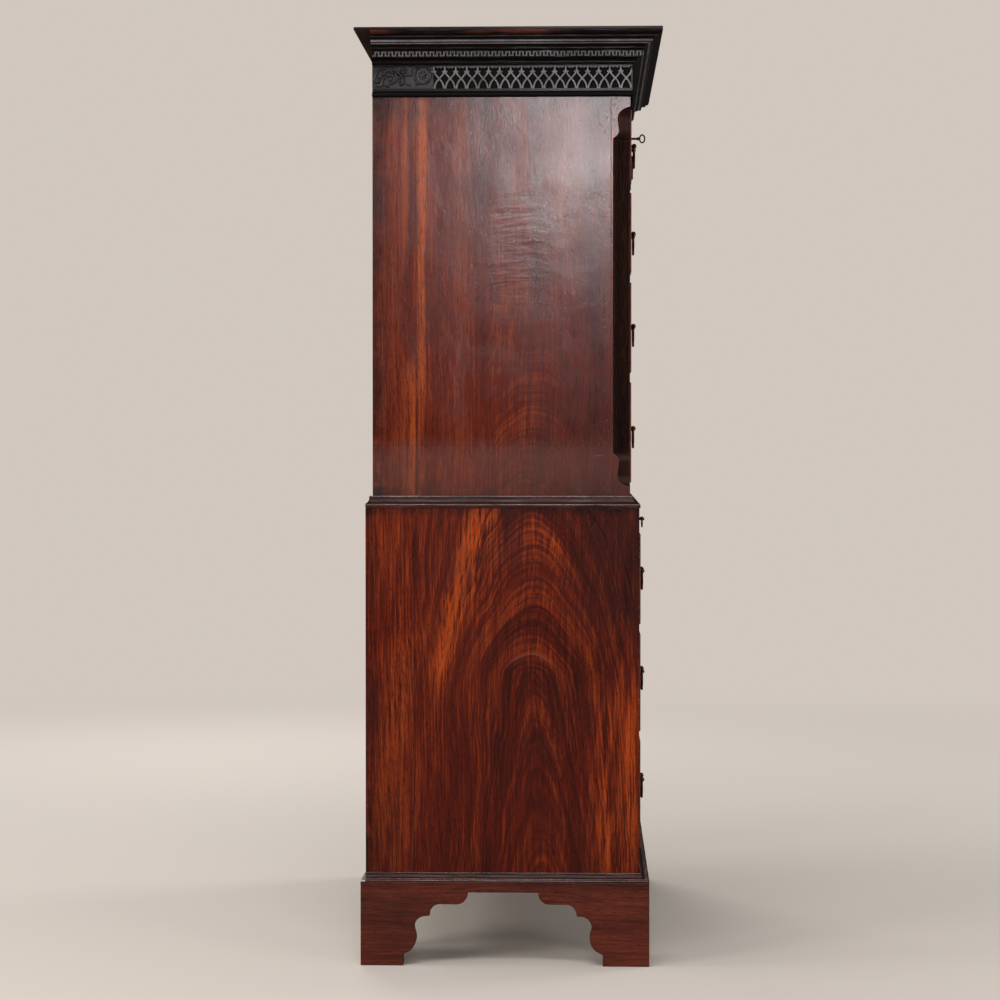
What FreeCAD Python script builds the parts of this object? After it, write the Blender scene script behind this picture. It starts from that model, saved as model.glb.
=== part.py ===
import FreeCAD, Part
import math
import os
import Sketcher
from FreeCAD import Rotation, Vector

# A Georgian mahogany chest on chest. X runs across the front, -Y is the front, Z is up.
# The origin is on the floor, under the middle of the whole outline.

# Driving dimensions in millimetres: alias, value, what it measures.
DIMENSIONS = (
    ("upper_width", 1040, "upper case across its sides"),
    ("upper_depth", 509, "upper case, corner posts to back"),
    ("case_step_front", 18, "lower case forward of the upper case"),
    ("case_step_side", 18, "lower case beyond each side of the upper case"),
    ("case_step_back", 13, "lower case behind the upper case"),
    ("plinth_step", 20, "plinth beyond the lower case, front and sides"),
    ("plinth_step_back", 9, "plinth behind the lower case"),
    ("cornice_projection", 62, "cornice beyond the upper case, front and sides"),
    ("top_overhang_back", 32, "top board behind the upper case"),
    ("foot_height", 145, "floor to the underside of the apron"),
    ("apron_height", 21, "apron above the bracket feet"),
    ("bracket_thickness", 22, "boards of the bracket feet"),
    ("toe_side", 84.5, "toe of a back foot along the side"),
    ("toe_front", 91.5, "toe of a front foot, both ways"),
    ("bracket_reach", 127, "scrolled part of a bracket beyond the toe"),
    ("back_bracket_length", 170, "bracket across the back of a back foot"),
    ("block_size", 42, "glue blocks in the feet, square"),
    ("block_rise", 3, "glue blocks above the floor"),
    ("side_thickness", 20, "case sides"),
    ("side_joint_back", 86, "joint of the side boards, in from the back"),
    ("case_board", 18, "top and bottom boards of both cases"),
    ("back_thickness", 12, "back boards"),
    ("back_rebate", 10, "width of the rebate that holds the back boards"),
    ("post_width", 46, "corner posts across the front"),
    ("post_depth", 38, "corner posts along the side"),
    ("cant", 34, "canted corner, measured along the side"),
    ("tongue_rise", 41.5, "foot of the lower stop of the cant above the case bottom"),
    ("tongue_fall", 20, "head of the upper stop of the cant below the necking"),
    ("tongue_bottom_length", 67, "lower stop of the cant"),
    ("tongue_top_length", 62, "upper stop of the cant"),
    ("lower_rail_height", 46, "bottom rail of the lower case"),
    ("lower_bottom_drawer", 212, "opening of the bottom drawer"),
    ("lower_middle_drawer", 194, "opening of the middle drawer"),
    ("lower_top_drawer", 180, "opening of the top drawer of the lower case"),
    ("slide_rail", 14, "rail under the brushing slide"),
    ("slide_opening", 18, "opening of the brushing slide"),
    ("upper_rail_height", 31, "bottom rail of the upper case"),
    ("upper_bottom_drawer", 201, "opening of the bottom long drawer"),
    ("upper_middle_drawer", 180, "opening of the middle long drawer"),
    ("upper_top_drawer", 160, "opening of the top long drawer"),
    ("short_drawer", 146, "opening of the short drawers"),
    ("divider", 18, "rails between drawers"),
    ("divider_depth", 70, "rails between drawers, front to back"),
    ("backing_thickness", 22, "bottom rails and the board behind the frieze"),
    ("runner_width", 58, "drawer runners"),
    ("guide_height", 20, "strips that guide the drawers behind the posts"),
    ("top_rail_height", 19.5, "top drawers to the necking"),
    ("necking_height", 9.5, "bead below the frieze"),
    ("necking_projection", 8, "bead beyond the case"),
    ("frieze_height", 53, "frieze between necking and cornice"),
    ("frieze_thickness", 4, "frieze boards on the case"),
    ("cornice_height", 61, "cornice moulding"),
    ("top_board", 6, "board that covers the cornice"),
    ("waist_height", 24, "moulding around the foot of the upper case"),
    ("waist_projection", 20, "waist moulding beyond the upper case"),
    ("plinth_moulding_height", 16, "moulding on top of the plinth"),
    ("front_thickness", 20, "drawer fronts"),
    ("cockbead_width", 4, "beads round the drawer fronts"),
    ("cockbead_proud", 3, "beads forward of the drawer fronts"),
    ("drawer_gap", 1.2, "play beside and above a drawer front"),
    ("drawer_clearance", 0.3, "play under a drawer and before its stops"),
    ("drawer_lining", 11, "drawer sides and backs"),
    ("drawer_bottom", 8, "drawer bottoms"),
    ("bottom_raise", 7, "drawer bottoms above the edges of their sides"),
    ("side_drop", 6, "drawer sides below the top of their front"),
    ("drawer_back_space", 12, "space behind a closed drawer"),
    ("stop_height", 5, "drawer stops"),
    ("stop_depth", 20, "drawer stops, front to back"),
    ("stop_width", 40, "drawer stops across the case"),
    ("slide_depth", 430, "brushing slide, front to back"),
    ("slide_edge", 22, "mahogany edge of the brushing slide"),
    ("long_bail_inset", 184, "handles of upper long drawers in from the side of the opening"),
    ("lower_bail_inset", 203, "handles of lower drawers in from the side of the opening"),
    ("short_bail_inset", 114.5, "handles of short drawers in from the side of the opening"),
    ("bail_rise", 8, "handles above the middle of a drawer front"),
    ("bail_spacing", 72, "between the posts of a handle"),
    ("bail_drop", 38, "bail below its posts"),
    ("bail_radius", 2.4, "half the thickness of a bail"),
    ("bail_shoulder", 6, "straight end of a bail outside its post"),
    ("bail_corner", 4, "upper bend of a bail"),
    ("bail_bend", 18, "lower bend of a bail"),
    ("eye_play", 0.3, "play of a bail in its posts"),
    ("eye_reach", 9.5, "bail pivot forward of the drawer front"),
    ("rose_radius", 11, "roses under the posts"),
    ("rose_disc", 1.2, "flat rim of a rose"),
    ("rose_slope", 2, "rising part of a rose"),
    ("knob_radius", 5.2, "round head of a post"),
    ("shank_radius", 2.4, "bolt of a post through the drawer front"),
    ("shank_play", 0.2, "play of a bolt in its hole"),
    ("bolt_end", 2, "bolt beyond its nut"),
    ("nut_radius", 6.5, "round nuts inside the drawers"),
    ("nut_height", 4, "round nuts inside the drawers"),
    ("slide_bail_spacing", 44, "between the posts of a slide handle"),
    ("slide_bail_drop", 16, "slide bail below its posts"),
    ("slide_bail_bend", 9, "lower bend of a slide bail"),
    ("slide_bail_radius", 1.7, "half the thickness of a slide bail"),
    ("slide_rose_radius", 7.5, "roses of the slide handles"),
    ("slide_knob_radius", 4.2, "round head of a slide post"),
    ("slide_bolt_length", 30, "bolt of a slide post into the slide"),
    ("keyhole_drop", 33, "keyholes below the top of a drawer opening"),
    ("keyhole_slot", 3.2, "slot of a keyhole across"),
    ("keyhole_length", 11, "slot of a keyhole below its round part"),
    ("escutcheon_width", 26, "plate round a keyhole"),
    ("escutcheon_height", 40, "plate round a keyhole"),
    ("escutcheon_thickness", 1.2, "plate round a keyhole"),
    ("lock_width", 60, "lock case across"),
    ("lock_above", 14, "lock case above the keyhole"),
    ("lock_below", 32, "lock case below the keyhole"),
    ("lock_depth", 10, "lock case let into the back of a front"),
    ("lock_wall", 1.5, "plates of a lock case"),
    ("key_radius", 2.3, "shank of the key"),
    ("key_play", 0.3, "play of the key in a keyhole"),
    ("key_reach", 22, "drawer front to the bow of the key"),
    ("bow_length", 13.5, "bow of the key along the shank"),
    ("bow_width", 19, "bow of the key across"),
    ("bow_bar", 3, "bar of the bow"),
    ("bit_radius", 8, "bit of the key from its axis"),
    ("bit_length", 4, "bit of the key along the shank"),
)

# Outlines in shares of a width and a height: (across, up, bulge). The bulge is the height of the
# arc that leaves the corner, as a share of its chord, positive to the left of the way it runs.
CORNICE_PROFILE = (
    (0, 0), (0.1, 0, -0.2), (0.14, 0.036), (0.16, 0.06, 0.2), (0.25, 0.19), (0.37, 0.195),
    (0.37, 0.435), (0.43, 0.47, 0.22), (0.52, 0.6), (0.56, 0.61), (0.56, 0.64), (0.65, 0.64, -0.45),
    (0.65, 0.745), (0.7, 0.755, 0.1), (0.86, 0.8), (0.86, 0.82), (0.8, 0.825), (0.8, 0.865), (0.92, 0.87, -0.13),
    (1, 1), (0, 1),
)
WAIST_PROFILE = (
    (0, 0), (1, 0), (1, 0.3), (0.86, 0.36, 0.22), (0.32, 0.78), (0.32, 0.84, -0.2), (0.2, 1), (0, 1),
)
PLINTH_PROFILE = (
    (0, 0), (0.93, 0, -0.2), (1, 0.12, -0.2), (0.64, 0.3), (0.6, 0.34, 0.22), (0.16, 0.8), (0.13, 1), (0, 1),
)
NECKING_PROFILE = ((0, 0), (0.5, 0), (0.6, 0.05, -0.42), (0.6, 0.95), (0.5, 1), (0, 1))
BRACKET_CURVE = (
    (0, 0), (0, 0.13, 0.2), (0.04, 0.172, -0.21), (0.183, 0.476, 0.23), (0.31, 0.672),
    (0.41, 0.68, 0.24), (0.587, 0.838), (0.846, 0.838, -0.2), (1, 1),
)
ESCUTCHEON_CURVE = (
    (0, 0, -0.12), (0.72, 0.225, -0.14), (1, 0.725, -0.16), (0, 1, -0.16), (-1, 0.725, -0.14), (-0.72, 0.225, -0.12),
)
# Parts of another size: stops from the middle, neck of a post, collar and inside bend of the key.
STOP_SHARE, NECK_SHARE, COLLAR_SHARE, COLLAR_LENGTH, BOW_BEND, BIT_SHARE = 0.6, 0.58, 1.7, 0.9, 0.34, 0.6
# The stop of the cant, from the square corner to the straight cant: share of its depth and length.
TONGUE_CURVE = ((0, 1, 0.19), (0.735, 0.614, 0), (0.66, 0.295, -0.13), (1, 0))


class Size:
    """A length that holds its number and the expression that keeps it in the document."""

    def __init__(self, number, text):
        self.number = number
        self.text = text

    def __add__(self, other):
        other = size(other)
        return Size(self.number + other.number, f"({self.text} + {other.text})")

    def __sub__(self, other):
        other = size(other)
        return Size(self.number - other.number, f"({self.text} - {other.text})")

    def __mul__(self, factor):
        return Size(self.number * factor, f"({self.text} * {factor})")

    def __truediv__(self, factor):
        return Size(self.number / factor, f"({self.text} / {factor})")

    def __neg__(self):
        return Size(-self.number, f"(0 - {self.text})")

    def __radd__(self, other):
        return size(other) + self

    def __rsub__(self, other):
        return size(other) - self

    __rmul__ = __mul__


def size(value):
    """A plain number as a size."""
    if isinstance(value, Size):
        return value
    return Size(float(value), f"{value}")


def distance(start, end):
    """The straight distance between two places of a sketch."""
    across = size(end[0]) - size(start[0])
    up = size(end[1]) - size(start[1])
    return Size(math.hypot(across.number, up.number), f"sqrt({across.text} ^ 2 + {up.text} ^ 2)")


os.makedirs("parts", exist_ok=True)
doc = FreeCAD.newDocument("chest_on_chest")
sheet = doc.addObject("Spreadsheet::Sheet", "Sizes")
for row, (alias, value, meaning) in enumerate(DIMENSIONS, start=2):
    sheet.set(f"A{row}", alias)
    sheet.set(f"B{row}", str(value))
    sheet.set(f"C{row}", meaning)
    sheet.setAlias(f"B{row}", alias)
sheet.recompute()
dim = {alias: Size(float(value), f"Sizes.{alias}") for alias, value, meaning in DIMENSIONS}


def bind(item, place, value):
    """Keeps one property of an object equal to a size."""
    item.setExpression(place, size(value).text)


def block(label, x, y, z):
    """A squared board between two places on each axis."""
    item = doc.addObject("Part::Box", label)
    item.Label = label
    for edge, axis, (low, high) in zip(("Length", "Width", "Height"), "xyz", (x, y, z)):
        bind(item, edge, size(high) - size(low))
        bind(item, f"Placement.Base.{axis}", low)
    return item


def put(item, label, x, y, z):
    """Names an object and binds its place."""
    item.Label = label
    for axis, value in zip("xyz", (x, y, z)):
        bind(item, f"Placement.Base.{axis}", value)
    return item


def rod(label, x, y, z, radius, length):
    """A cylinder along Y, from y towards the back."""
    item = put(doc.addObject("Part::Cylinder", label), label, x, y, z)
    item.Placement.Rotation = Rotation(Vector(1, 0, 0), -90)
    bind(item, "Radius", radius)
    bind(item, "Height", length)
    return item


def group(label, pieces):
    """Separate solids that share one node."""
    item = doc.addObject("Part::Compound", label)
    item.Label = label
    item.Links = pieces
    return item


def cut(label, base, tools):
    """The base without all of its tools."""
    item = doc.addObject("Part::Cut", label)
    item.Label = label
    item.Base = base
    item.Tool = tools[0] if len(tools) == 1 else group(f"{label}_tools", tools)
    return item


def joined(label, pieces):
    """One solid made of several that overlap."""
    item = doc.addObject("Part::MultiFuse", label)
    item.Label = label
    item.Shapes = pieces
    return item


def mirrored(label, source):
    """The same piece on the other side of the case."""
    item = doc.addObject("Part::Mirroring", label)
    item.Label = label
    item.Source = source
    item.Normal = Vector(1, 0, 0)
    return item


def new_body(label, x=0, y=0, z=0):
    return put(doc.addObject("PartDesign::Body", label), label, x, y, z)


def new_sketch(body, plane, level):
    """A sketch on one of the body's own planes, moved along that plane's normal."""
    sketch = body.newObject("Sketcher::SketchObject", f"{body.Name}_outline")
    support = next(item for item in body.Origin.OriginFeatures if item.Role == f"{plane}_Plane")
    sketch.AttachmentSupport = [(support, "")]
    sketch.MapMode = "FlatFace"
    bind(sketch, "AttachmentOffset.Base.z", level)
    return sketch


def draw(sketch, corners, closed=True):
    """Lines and arcs through the corners. Every corner and radius is bound to the sheet."""
    count = len(corners) if closed else len(corners) - 1
    starts, ends = [], []
    for index in range(count):
        here, there = corners[index], corners[(index + 1) % len(corners)]
        bulge = here[2] if len(here) > 2 else 0
        first = Vector(size(here[0]).number, size(here[1]).number, 0)
        last = Vector(size(there[0]).number, size(there[1]).number, 0)
        if bulge == 0:
            sketch.addGeometry(Part.LineSegment(first, last))
            starts.append(1)
            ends.append(2)
            continue
        chord = distance(here, there)
        shape = (1 + 4 * bulge ** 2) / (8 * abs(bulge))
        radius = chord * shape
        left = Vector(first.y - last.y, last.x - first.x, 0) / chord.number
        depth = math.copysign(radius.number - abs(bulge) * chord.number, bulge)
        centre = (first + last) / 2 - left * depth
        from_point, to_point = (last, first) if bulge > 0 else (first, last)
        angles = [math.atan2(point.y - centre.y, point.x - centre.x) for point in (from_point, to_point)]
        circle = Part.Circle(centre, Vector(0, 0, 1), radius.number)
        sketch.addGeometry(Part.ArcOfCircle(circle, angles[0], angles[1]))
        starts.append(2 if bulge > 0 else 1)
        ends.append(1 if bulge > 0 else 2)
        place = sketch.addConstraint(Sketcher.Constraint("Radius", index, radius.number))
        bind(sketch, f"Constraints[{place}]", radius)
    for index in range(count):
        if closed or index > 0:
            before = (index - 1) % count
            sketch.addConstraint(
                Sketcher.Constraint("Coincident", before, ends[before], index, starts[index]))
        pin(sketch, index, starts[index], corners[index])
    if not closed:
        pin(sketch, count - 1, ends[-1], corners[-1])


def pin(sketch, edge, point, corner):
    """Fixes one point of a sketch at its distances from the origin."""
    for kind, value in zip(("DistanceX", "DistanceY"), corner):
        value = size(value)
        place = sketch.addConstraint(Sketcher.Constraint(kind, -1, 1, edge, point, value.number))
        bind(sketch, f"Constraints[{place}]", value)


def pad(body, plane, level, thickness, corners, symmetric=False):
    """A board of the given outline. It grows along +X, -Y or +Z from its level."""
    sketch = new_sketch(body, plane, level)
    draw(sketch, corners)
    feature = body.newObject("PartDesign::Pad", f"{body.Name}_pad")
    feature.Profile = sketch
    feature.SideType = "Symmetric" if symmetric else "One side"
    bind(feature, "Length", thickness)
    body.Tip = feature
    return feature


def pocket(body, plane, corners):
    """A cut of the given outline right through the body, both ways from the plane."""
    sketch = new_sketch(body, plane, 0)
    draw(sketch, corners)
    return through(body, sketch)


def through(body, sketch):
    feature = body.newObject("PartDesign::Pocket", f"{body.Name}_pocket")
    feature.Profile = sketch
    feature.Type = "ThroughAll"
    feature.SideType = "Symmetric"
    body.Tip = feature
    return feature


def scaled(curve, width, height, base, outward=1):
    """An outline in shares, at its real size. Outward is -1 where it faces the other way."""
    corners = []
    for across, up, *bulge in curve:
        turn = [outward * value for value in bulge]
        corners.append((width[0] + width[1] * (across * outward), base + height * up, *turn))
    return corners


# Levels and planes that the pieces share.
half_upper = dim["upper_width"] / 2
half_lower = half_upper + dim["case_step_side"]
half_plinth = half_lower + dim["plinth_step"]
whole_depth = dim["upper_depth"] + dim["cornice_projection"] + dim["top_overhang_back"]
upper_front = dim["cornice_projection"] - whole_depth / 2
upper_back = upper_front + dim["upper_depth"]
lower_front = upper_front - dim["case_step_front"]
lower_back = upper_back + dim["case_step_back"]
plinth_front = lower_front - dim["plinth_step"]
plinth_back = lower_back + dim["plinth_step_back"]
post_back = upper_front + dim["post_depth"]
opening_upper = half_upper - dim["post_width"]
opening_lower = half_lower - dim["side_thickness"]

plinth_top = dim["foot_height"] + dim["apron_height"]
lower_floor = plinth_top + dim["case_board"]
lower_levels = [lower_floor + dim["lower_rail_height"]]
for drawer_height in ("lower_bottom_drawer", "lower_middle_drawer"):
    lower_levels.append(lower_levels[-1] + dim[drawer_height])
    lower_levels.append(lower_levels[-1] + dim["divider"])
lower_levels.append(lower_levels[-1] + dim["lower_top_drawer"])
slide_low = lower_levels[-1] + dim["slide_rail"]
slide_high = slide_low + dim["slide_opening"]
waist = slide_high + dim["case_board"]
upper_floor = waist + dim["case_board"]
upper_levels = [upper_floor + dim["upper_rail_height"]]
for drawer_height in ("upper_bottom_drawer", "upper_middle_drawer", "upper_top_drawer"):
    upper_levels.append(upper_levels[-1] + dim[drawer_height])
    upper_levels.append(upper_levels[-1] + dim["divider"])
upper_levels.append(upper_levels[-1] + dim["short_drawer"])
necking_low = upper_levels[-1] + dim["top_rail_height"]
frieze_low = necking_low + dim["necking_height"]
cornice_low = frieze_low + dim["frieze_height"]
cornice_high = cornice_low + dim["cornice_height"]
whole_height = cornice_high + dim["top_board"]
lower_drawer_levels = dict(zip(("bottom", "middle", "top"), lower_levels[::2]))
upper_drawer_levels = dict(zip(("bottom", "middle", "top", "short"), upper_levels[::2]))

# Where the handles hang, from the middle of a drawer.
half_short = (opening_upper - dim["divider"] / 2) / 2
short_place = dim["divider"] / 2 + half_short
short_bail_place = half_short - dim["short_bail_inset"]
long_bail_place = opening_upper - dim["long_bail_inset"]
lower_bail_place = opening_lower - dim["lower_bail_inset"]

nodes = {}


def side(name, half, front, back, low, high):
    """The two boards of a left case side, jointed edge to edge and rebated for the back."""
    joint = back - dim["side_joint_back"]
    rebate = back - dim["back_thickness"]
    inner = -half + dim["side_thickness"]
    front_board = block(f"{name}_front_board", (-half, inner), (front, joint), (low, high))
    back_board = new_body(f"{name}_back_board")
    pad(back_board, "XY", low, high - low, [
        (-half, joint), (inner, joint), (inner, rebate), (-half + dim["back_rebate"], rebate),
        (-half + dim["back_rebate"], back), (-half, back)])
    return [front_board, back_board]


def case_sides(case, half, front, back, low, high):
    pieces = side(f"{case}_left_side", half, front, back, low, high)
    nodes[f"{case}_left_side"] = group(f"{case}_left_side", pieces)
    nodes[f"{case}_right_side"] = mirrored(f"{case}_right_side", nodes[f"{case}_left_side"])


def back_boards(case, half, back, low, high, count=4):
    """Upright boards between the rebates of the sides."""
    name = f"{case}_back_boards"
    edge = half - dim["back_rebate"]
    width = edge * 2 / count
    pieces = []
    for index in range(count):
        start = width * index - edge
        pieces.append(block(f"{name}_{index + 1}", (start, start + width), (back - dim["back_thickness"], back),
                            (low, high)))
    nodes[name] = group(name, pieces)


def corner_posts():
    """Square posts with a canted edge that dies into the corner in a stop at each end."""
    post = block("left_post_blank", (-half_upper, -half_upper + dim["post_width"]), (upper_front, post_back),
                 (waist, cornice_high))
    cutter = new_body("left_cant_cutter", -half_upper, upper_front, 0)
    cutter.Placement.Rotation = Rotation(Vector(0, 0, 1), 45)
    depth = dim["cant"] * math.sqrt(0.5)
    outside = -depth
    low_end, high_end = waist + dim["tongue_rise"], necking_low - dim["tongue_fall"]
    lower_stop = scaled(TONGUE_CURVE, (0, depth), -dim["tongue_bottom_length"],
                        low_end + dim["tongue_bottom_length"])
    upper_stop = scaled(TONGUE_CURVE, (0, depth), dim["tongue_top_length"], high_end - dim["tongue_top_length"])
    upper_stop = [(across, up) for across, up, *bulge in upper_stop]
    upper_turns = [TONGUE_CURVE[index - 1][2] for index in range(len(TONGUE_CURVE) - 1, 0, -1)]
    climb = [(*corner[:2], -corner[2]) if len(corner) > 2 else corner for corner in lower_stop]
    descend = [(*corner, -turn) for corner, turn in zip(reversed(upper_stop), upper_turns)]
    pad(cutter, "XZ", 0, dim["post_width"] * 2, [(outside, low_end), *climb, *descend, upper_stop[0],
                                                  (outside, high_end)], symmetric=True)
    left = cut("left_corner_post", post, [cutter])
    nodes["upper_corner_posts"] = group("upper_corner_posts", [left, mirrored("right_corner_post", left)])


def moulding(name, profile, projection, height, half, front, back, low, returned=0):
    """A front length and two side lengths of one section, mitred at the front corners.

    The side lengths end square at the back, or run on past it by the returned length on a mitre.
    """
    reach = projection + 1
    end = back + returned
    across = (size(front), projection)
    front_run = new_body(f"{name}_front")
    section = scaled(profile, across, height, low, -1)
    pad(front_run, "YZ", -(half + reach), (half + reach) * 2, section)
    side_run = new_body(f"{name}_left")
    section = scaled(profile, (-half, projection), height, low, -1)
    pad(side_run, "XZ", -end, end - front + reach, section)
    inner, outer = (-half + 1, front + 1), (-half - reach, front - reach)
    pocket(front_run, "XY", [inner, outer, (-half - reach, front + 1)])
    pocket(front_run, "XY", [(half - 1, front + 1), (half + reach, front - reach), (half + reach, front + 1)])
    pocket(side_run, "XY", [inner, outer, (-half + 1, front - reach)])
    if returned:
        corner = returned + 1
        pocket(side_run, "XY", [(-half + 1, back - 1), (-half - corner, back + corner), (-half + 1, back + corner)])
    return [front_run, side_run, mirrored(f"{name}_right", side_run)]


def bracket_corners(start, toe, sign):
    """One bracket foot from its toe on the floor to the apron; sign -1 turns it round."""
    return [(start + (toe + dim["bracket_reach"] * across) * sign, dim["foot_height"] * up,
             *[turn * sign for turn in bulge]) for across, up, *bulge in BRACKET_CURVE]


def apron(start, start_toe, end, end_toe):
    """The outline of a plinth board with a bracket foot at each end."""
    rising = bracket_corners(start, start_toe, 1)
    falling = bracket_corners(end, end_toe, -1)
    turns = [corner[2] if len(corner) > 2 else 0 for corner in falling[:-1]]
    falling = [(corner[0], corner[1], -turn) for corner, turn in zip(reversed(falling), [*reversed(turns), 0])]
    return [(start, 0), *rising, *falling, (end, 0), (end, plinth_top), (start, plinth_top)]


def bracket_base():
    """Plinth boards with bracket feet, mitred at the front, with blocks behind them."""
    thickness = dim["bracket_thickness"]
    front_board = new_body("plinth_front")
    pad(front_board, "XZ", -(plinth_front + thickness), thickness,
        apron(-half_plinth, dim["toe_front"], half_plinth, dim["toe_front"]))
    side_board = new_body("plinth_left")
    pad(side_board, "YZ", -half_plinth, thickness,
        apron(plinth_front, dim["toe_front"], plinth_back, dim["toe_side"]))
    inner = (-half_plinth + thickness + 1, plinth_front + thickness + 1)
    outer = (-half_plinth - 1, plinth_front - 1)
    pocket(front_board, "XY", [inner, outer, (outer[0], inner[1])])
    pocket(front_board, "XY", [(-inner[0], inner[1]), (-outer[0], outer[1]), (-outer[0], inner[1])])
    pocket(side_board, "XY", [inner, outer, (inner[0], outer[1])])
    pieces = [front_board, side_board, mirrored("plinth_right", side_board)]
    inside = -half_plinth + thickness
    high = plinth_top
    back_foot = block("left_back_bracket", (inside, -half_plinth + dim["back_bracket_length"]),
                      (plinth_back - thickness, plinth_back), (0, high))
    ledge = dim["block_size"] / 2
    places = {
        "front_block": ((inside, inside + dim["block_size"]),
                        (plinth_front + thickness, plinth_front + thickness + dim["block_size"]),
                        (dim["block_rise"], high)),
        "back_block": ((inside, inside + dim["block_size"]),
                       (plinth_back - thickness - dim["block_size"], plinth_back - thickness),
                       (dim["block_rise"], high)),
        "side_ledge": ((inside, inside + dim["block_size"]),
                       (plinth_front + thickness + dim["block_size"], plinth_back - thickness - dim["block_size"]),
                       (high - ledge, high)),
    }
    left = [back_foot] + [block(f"left_{name}", *ranges) for name, ranges in places.items()]
    pieces += left + [mirrored(piece.Label.replace("left", "right"), piece) for piece in left]
    pieces.append(block("front_ledge", (inside + dim["block_size"], -inside - dim["block_size"]),
                        (plinth_front + thickness, plinth_front + thickness + dim["block_size"]),
                        (high - ledge, high)))
    nodes["bracket_base"] = group("bracket_base", pieces)


def rail(name, half, front, low, high, depth="divider_depth"):
    return block(name, (-half, half), (front, front + dim[depth]), (low, high))


def runners(name, outer, inner, front, back, low, high, guide):
    """A runner on each side of the case, with a guide strip on it where posts stand in the way."""
    left = [block(f"left_{name}", (-outer, -outer + dim["runner_width"]), (front, back), (low, high))]
    if guide:
        left.append(block(f"left_{name}_guide", (-outer, -inner), (post_back, back),
                          (high, high + dim["guide_height"])))
    return left + [mirrored(piece.Label.replace("left", "right"), piece) for piece in left]


def stops(name, centres, front, level):
    """Small blocks on a rail that meet the back of a closed drawer front."""
    face = front + dim["front_thickness"] + dim["drawer_clearance"]
    return [block(f"{name}_stop_{index + 1}", (x - dim["stop_width"] / 2, x + dim["stop_width"] / 2),
                  (face, face + dim["stop_depth"]), (level, level + dim["stop_height"]))
            for index, x in enumerate(centres)]


def case_frame(case, half, opening, front, back, levels, low, floor, high, rails_to_top):
    """Top and bottom boards, rails, runners and drawer stops of one case."""
    inner = half - dim["side_thickness"]
    inside_back = back - dim["back_thickness"]
    runner_start = front + dim["divider_depth"]
    guide = opening.number < inner.number
    board_front = post_back if guide else front
    pieces = [block(f"{case}_bottom_board", (-inner, inner), (board_front, inside_back), (low, floor))]
    if guide:
        pieces.append(block(f"{case}_sill", (-opening, opening), (front, post_back), (low, floor)))
    pieces.append(rail(f"{case}_bottom_rail", opening, front, floor, levels[0], "backing_thickness"))
    pieces += runners(f"{case}_runner_1", inner, opening, board_front, inside_back, floor, levels[0], guide)
    stop_places = (opening * -STOP_SHARE, opening * STOP_SHARE)
    pieces += stops(f"{case}_1", stop_places, front, levels[0])
    for index in range(1, len(levels) - 1, 2):
        name = f"{case}_rail_{index // 2 + 1}"
        below, above = levels[index], levels[index + 1]
        pieces.append(rail(name, opening, front, below, above))
        pieces += runners(f"{case}_runner_{index // 2 + 2}", inner, opening, runner_start, inside_back,
                          below, above, guide)
        pieces += stops(f"{case}_{index // 2 + 2}", stop_places, front, above)
    return pieces + rails_to_top(inner, inside_back, high)


def lower_top(inner, inside_back, high):
    """The rail and runners under the brushing slide and the board over it."""
    level = lower_levels[-1]
    pieces = [rail("lower_slide_rail", opening_lower, lower_front, level, slide_low)]
    pieces += runners("lower_slide_runner", inner, opening_lower, lower_front + dim["divider_depth"], inside_back,
                      level, slide_low, False)
    pieces.append(block("lower_top_board", (-inner, inner), (lower_front, inside_back), (slide_high, high)))
    return pieces


def upper_top(inner, inside_back, high):
    """The upright and middle runner of the short drawers, the top rail and the case top."""
    level, ceiling = upper_levels[-2], upper_levels[-1]
    thickness = dim["backing_thickness"]
    half_upright = dim["divider"] / 2
    runner_start = upper_front + dim["divider_depth"]
    pieces = [
        block("short_drawer_upright", (-half_upright, half_upright), (upper_front, runner_start), (level, ceiling)),
        block("middle_runner", (-dim["runner_width"] / 2, dim["runner_width"] / 2), (runner_start, inside_back),
              (upper_levels[-3], level)),
        block("middle_guide", (-half_upright, half_upright), (runner_start, inside_back),
              (level, level + dim["guide_height"])),
        block("frieze_backing", (-opening_upper, opening_upper), (upper_front, upper_front + thickness),
              (ceiling, high)),
        block("upper_top_board", (-inner, inner), (post_back, inside_back), (high - dim["case_board"], high)),
        block("upper_top_front", (-opening_upper, opening_upper), (upper_front + thickness, post_back),
              (high - dim["case_board"], high)),
    ]
    return pieces


def handle_post(name, x, y, z, rose, knob, bolt_length, bail_radius):
    """A stepped rose, a neck and a round head on a bolt, with an eye for the end of the bail."""
    reach, disc, slope = dim["eye_reach"], dim["rose_disc"], dim["rose_slope"]
    cone = put(doc.addObject("Part::Cone", f"{name}_slope"), f"{name}_slope", x, y - disc, z)
    cone.Placement.Rotation = Rotation(Vector(1, 0, 0), 90)
    bind(cone, "Radius1", rose)
    bind(cone, "Radius2", rose / 2)
    bind(cone, "Height", slope)
    head = put(doc.addObject("Part::Sphere", f"{name}_head"), f"{name}_head", x, y - reach, z)
    bind(head, "Radius", knob)
    turned = joined(f"{name}_turned", [
        rod(f"{name}_bolt", x, y, z, dim["shank_radius"], bolt_length),
        rod(f"{name}_rose", x, y - disc, z, rose, disc), cone,
        rod(f"{name}_neck", x, y - reach, z, knob * NECK_SHARE, reach), head])
    eye = put(doc.addObject("Part::Cylinder", f"{name}_eye"), f"{name}_eye", x - knob, y - reach, z)
    eye.Placement.Rotation = Rotation(Vector(0, 1, 0), 90)
    bind(eye, "Radius", bail_radius + dim["eye_play"])
    bind(eye, "Height", knob * 2)
    return cut(name, turned, [eye])


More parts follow.
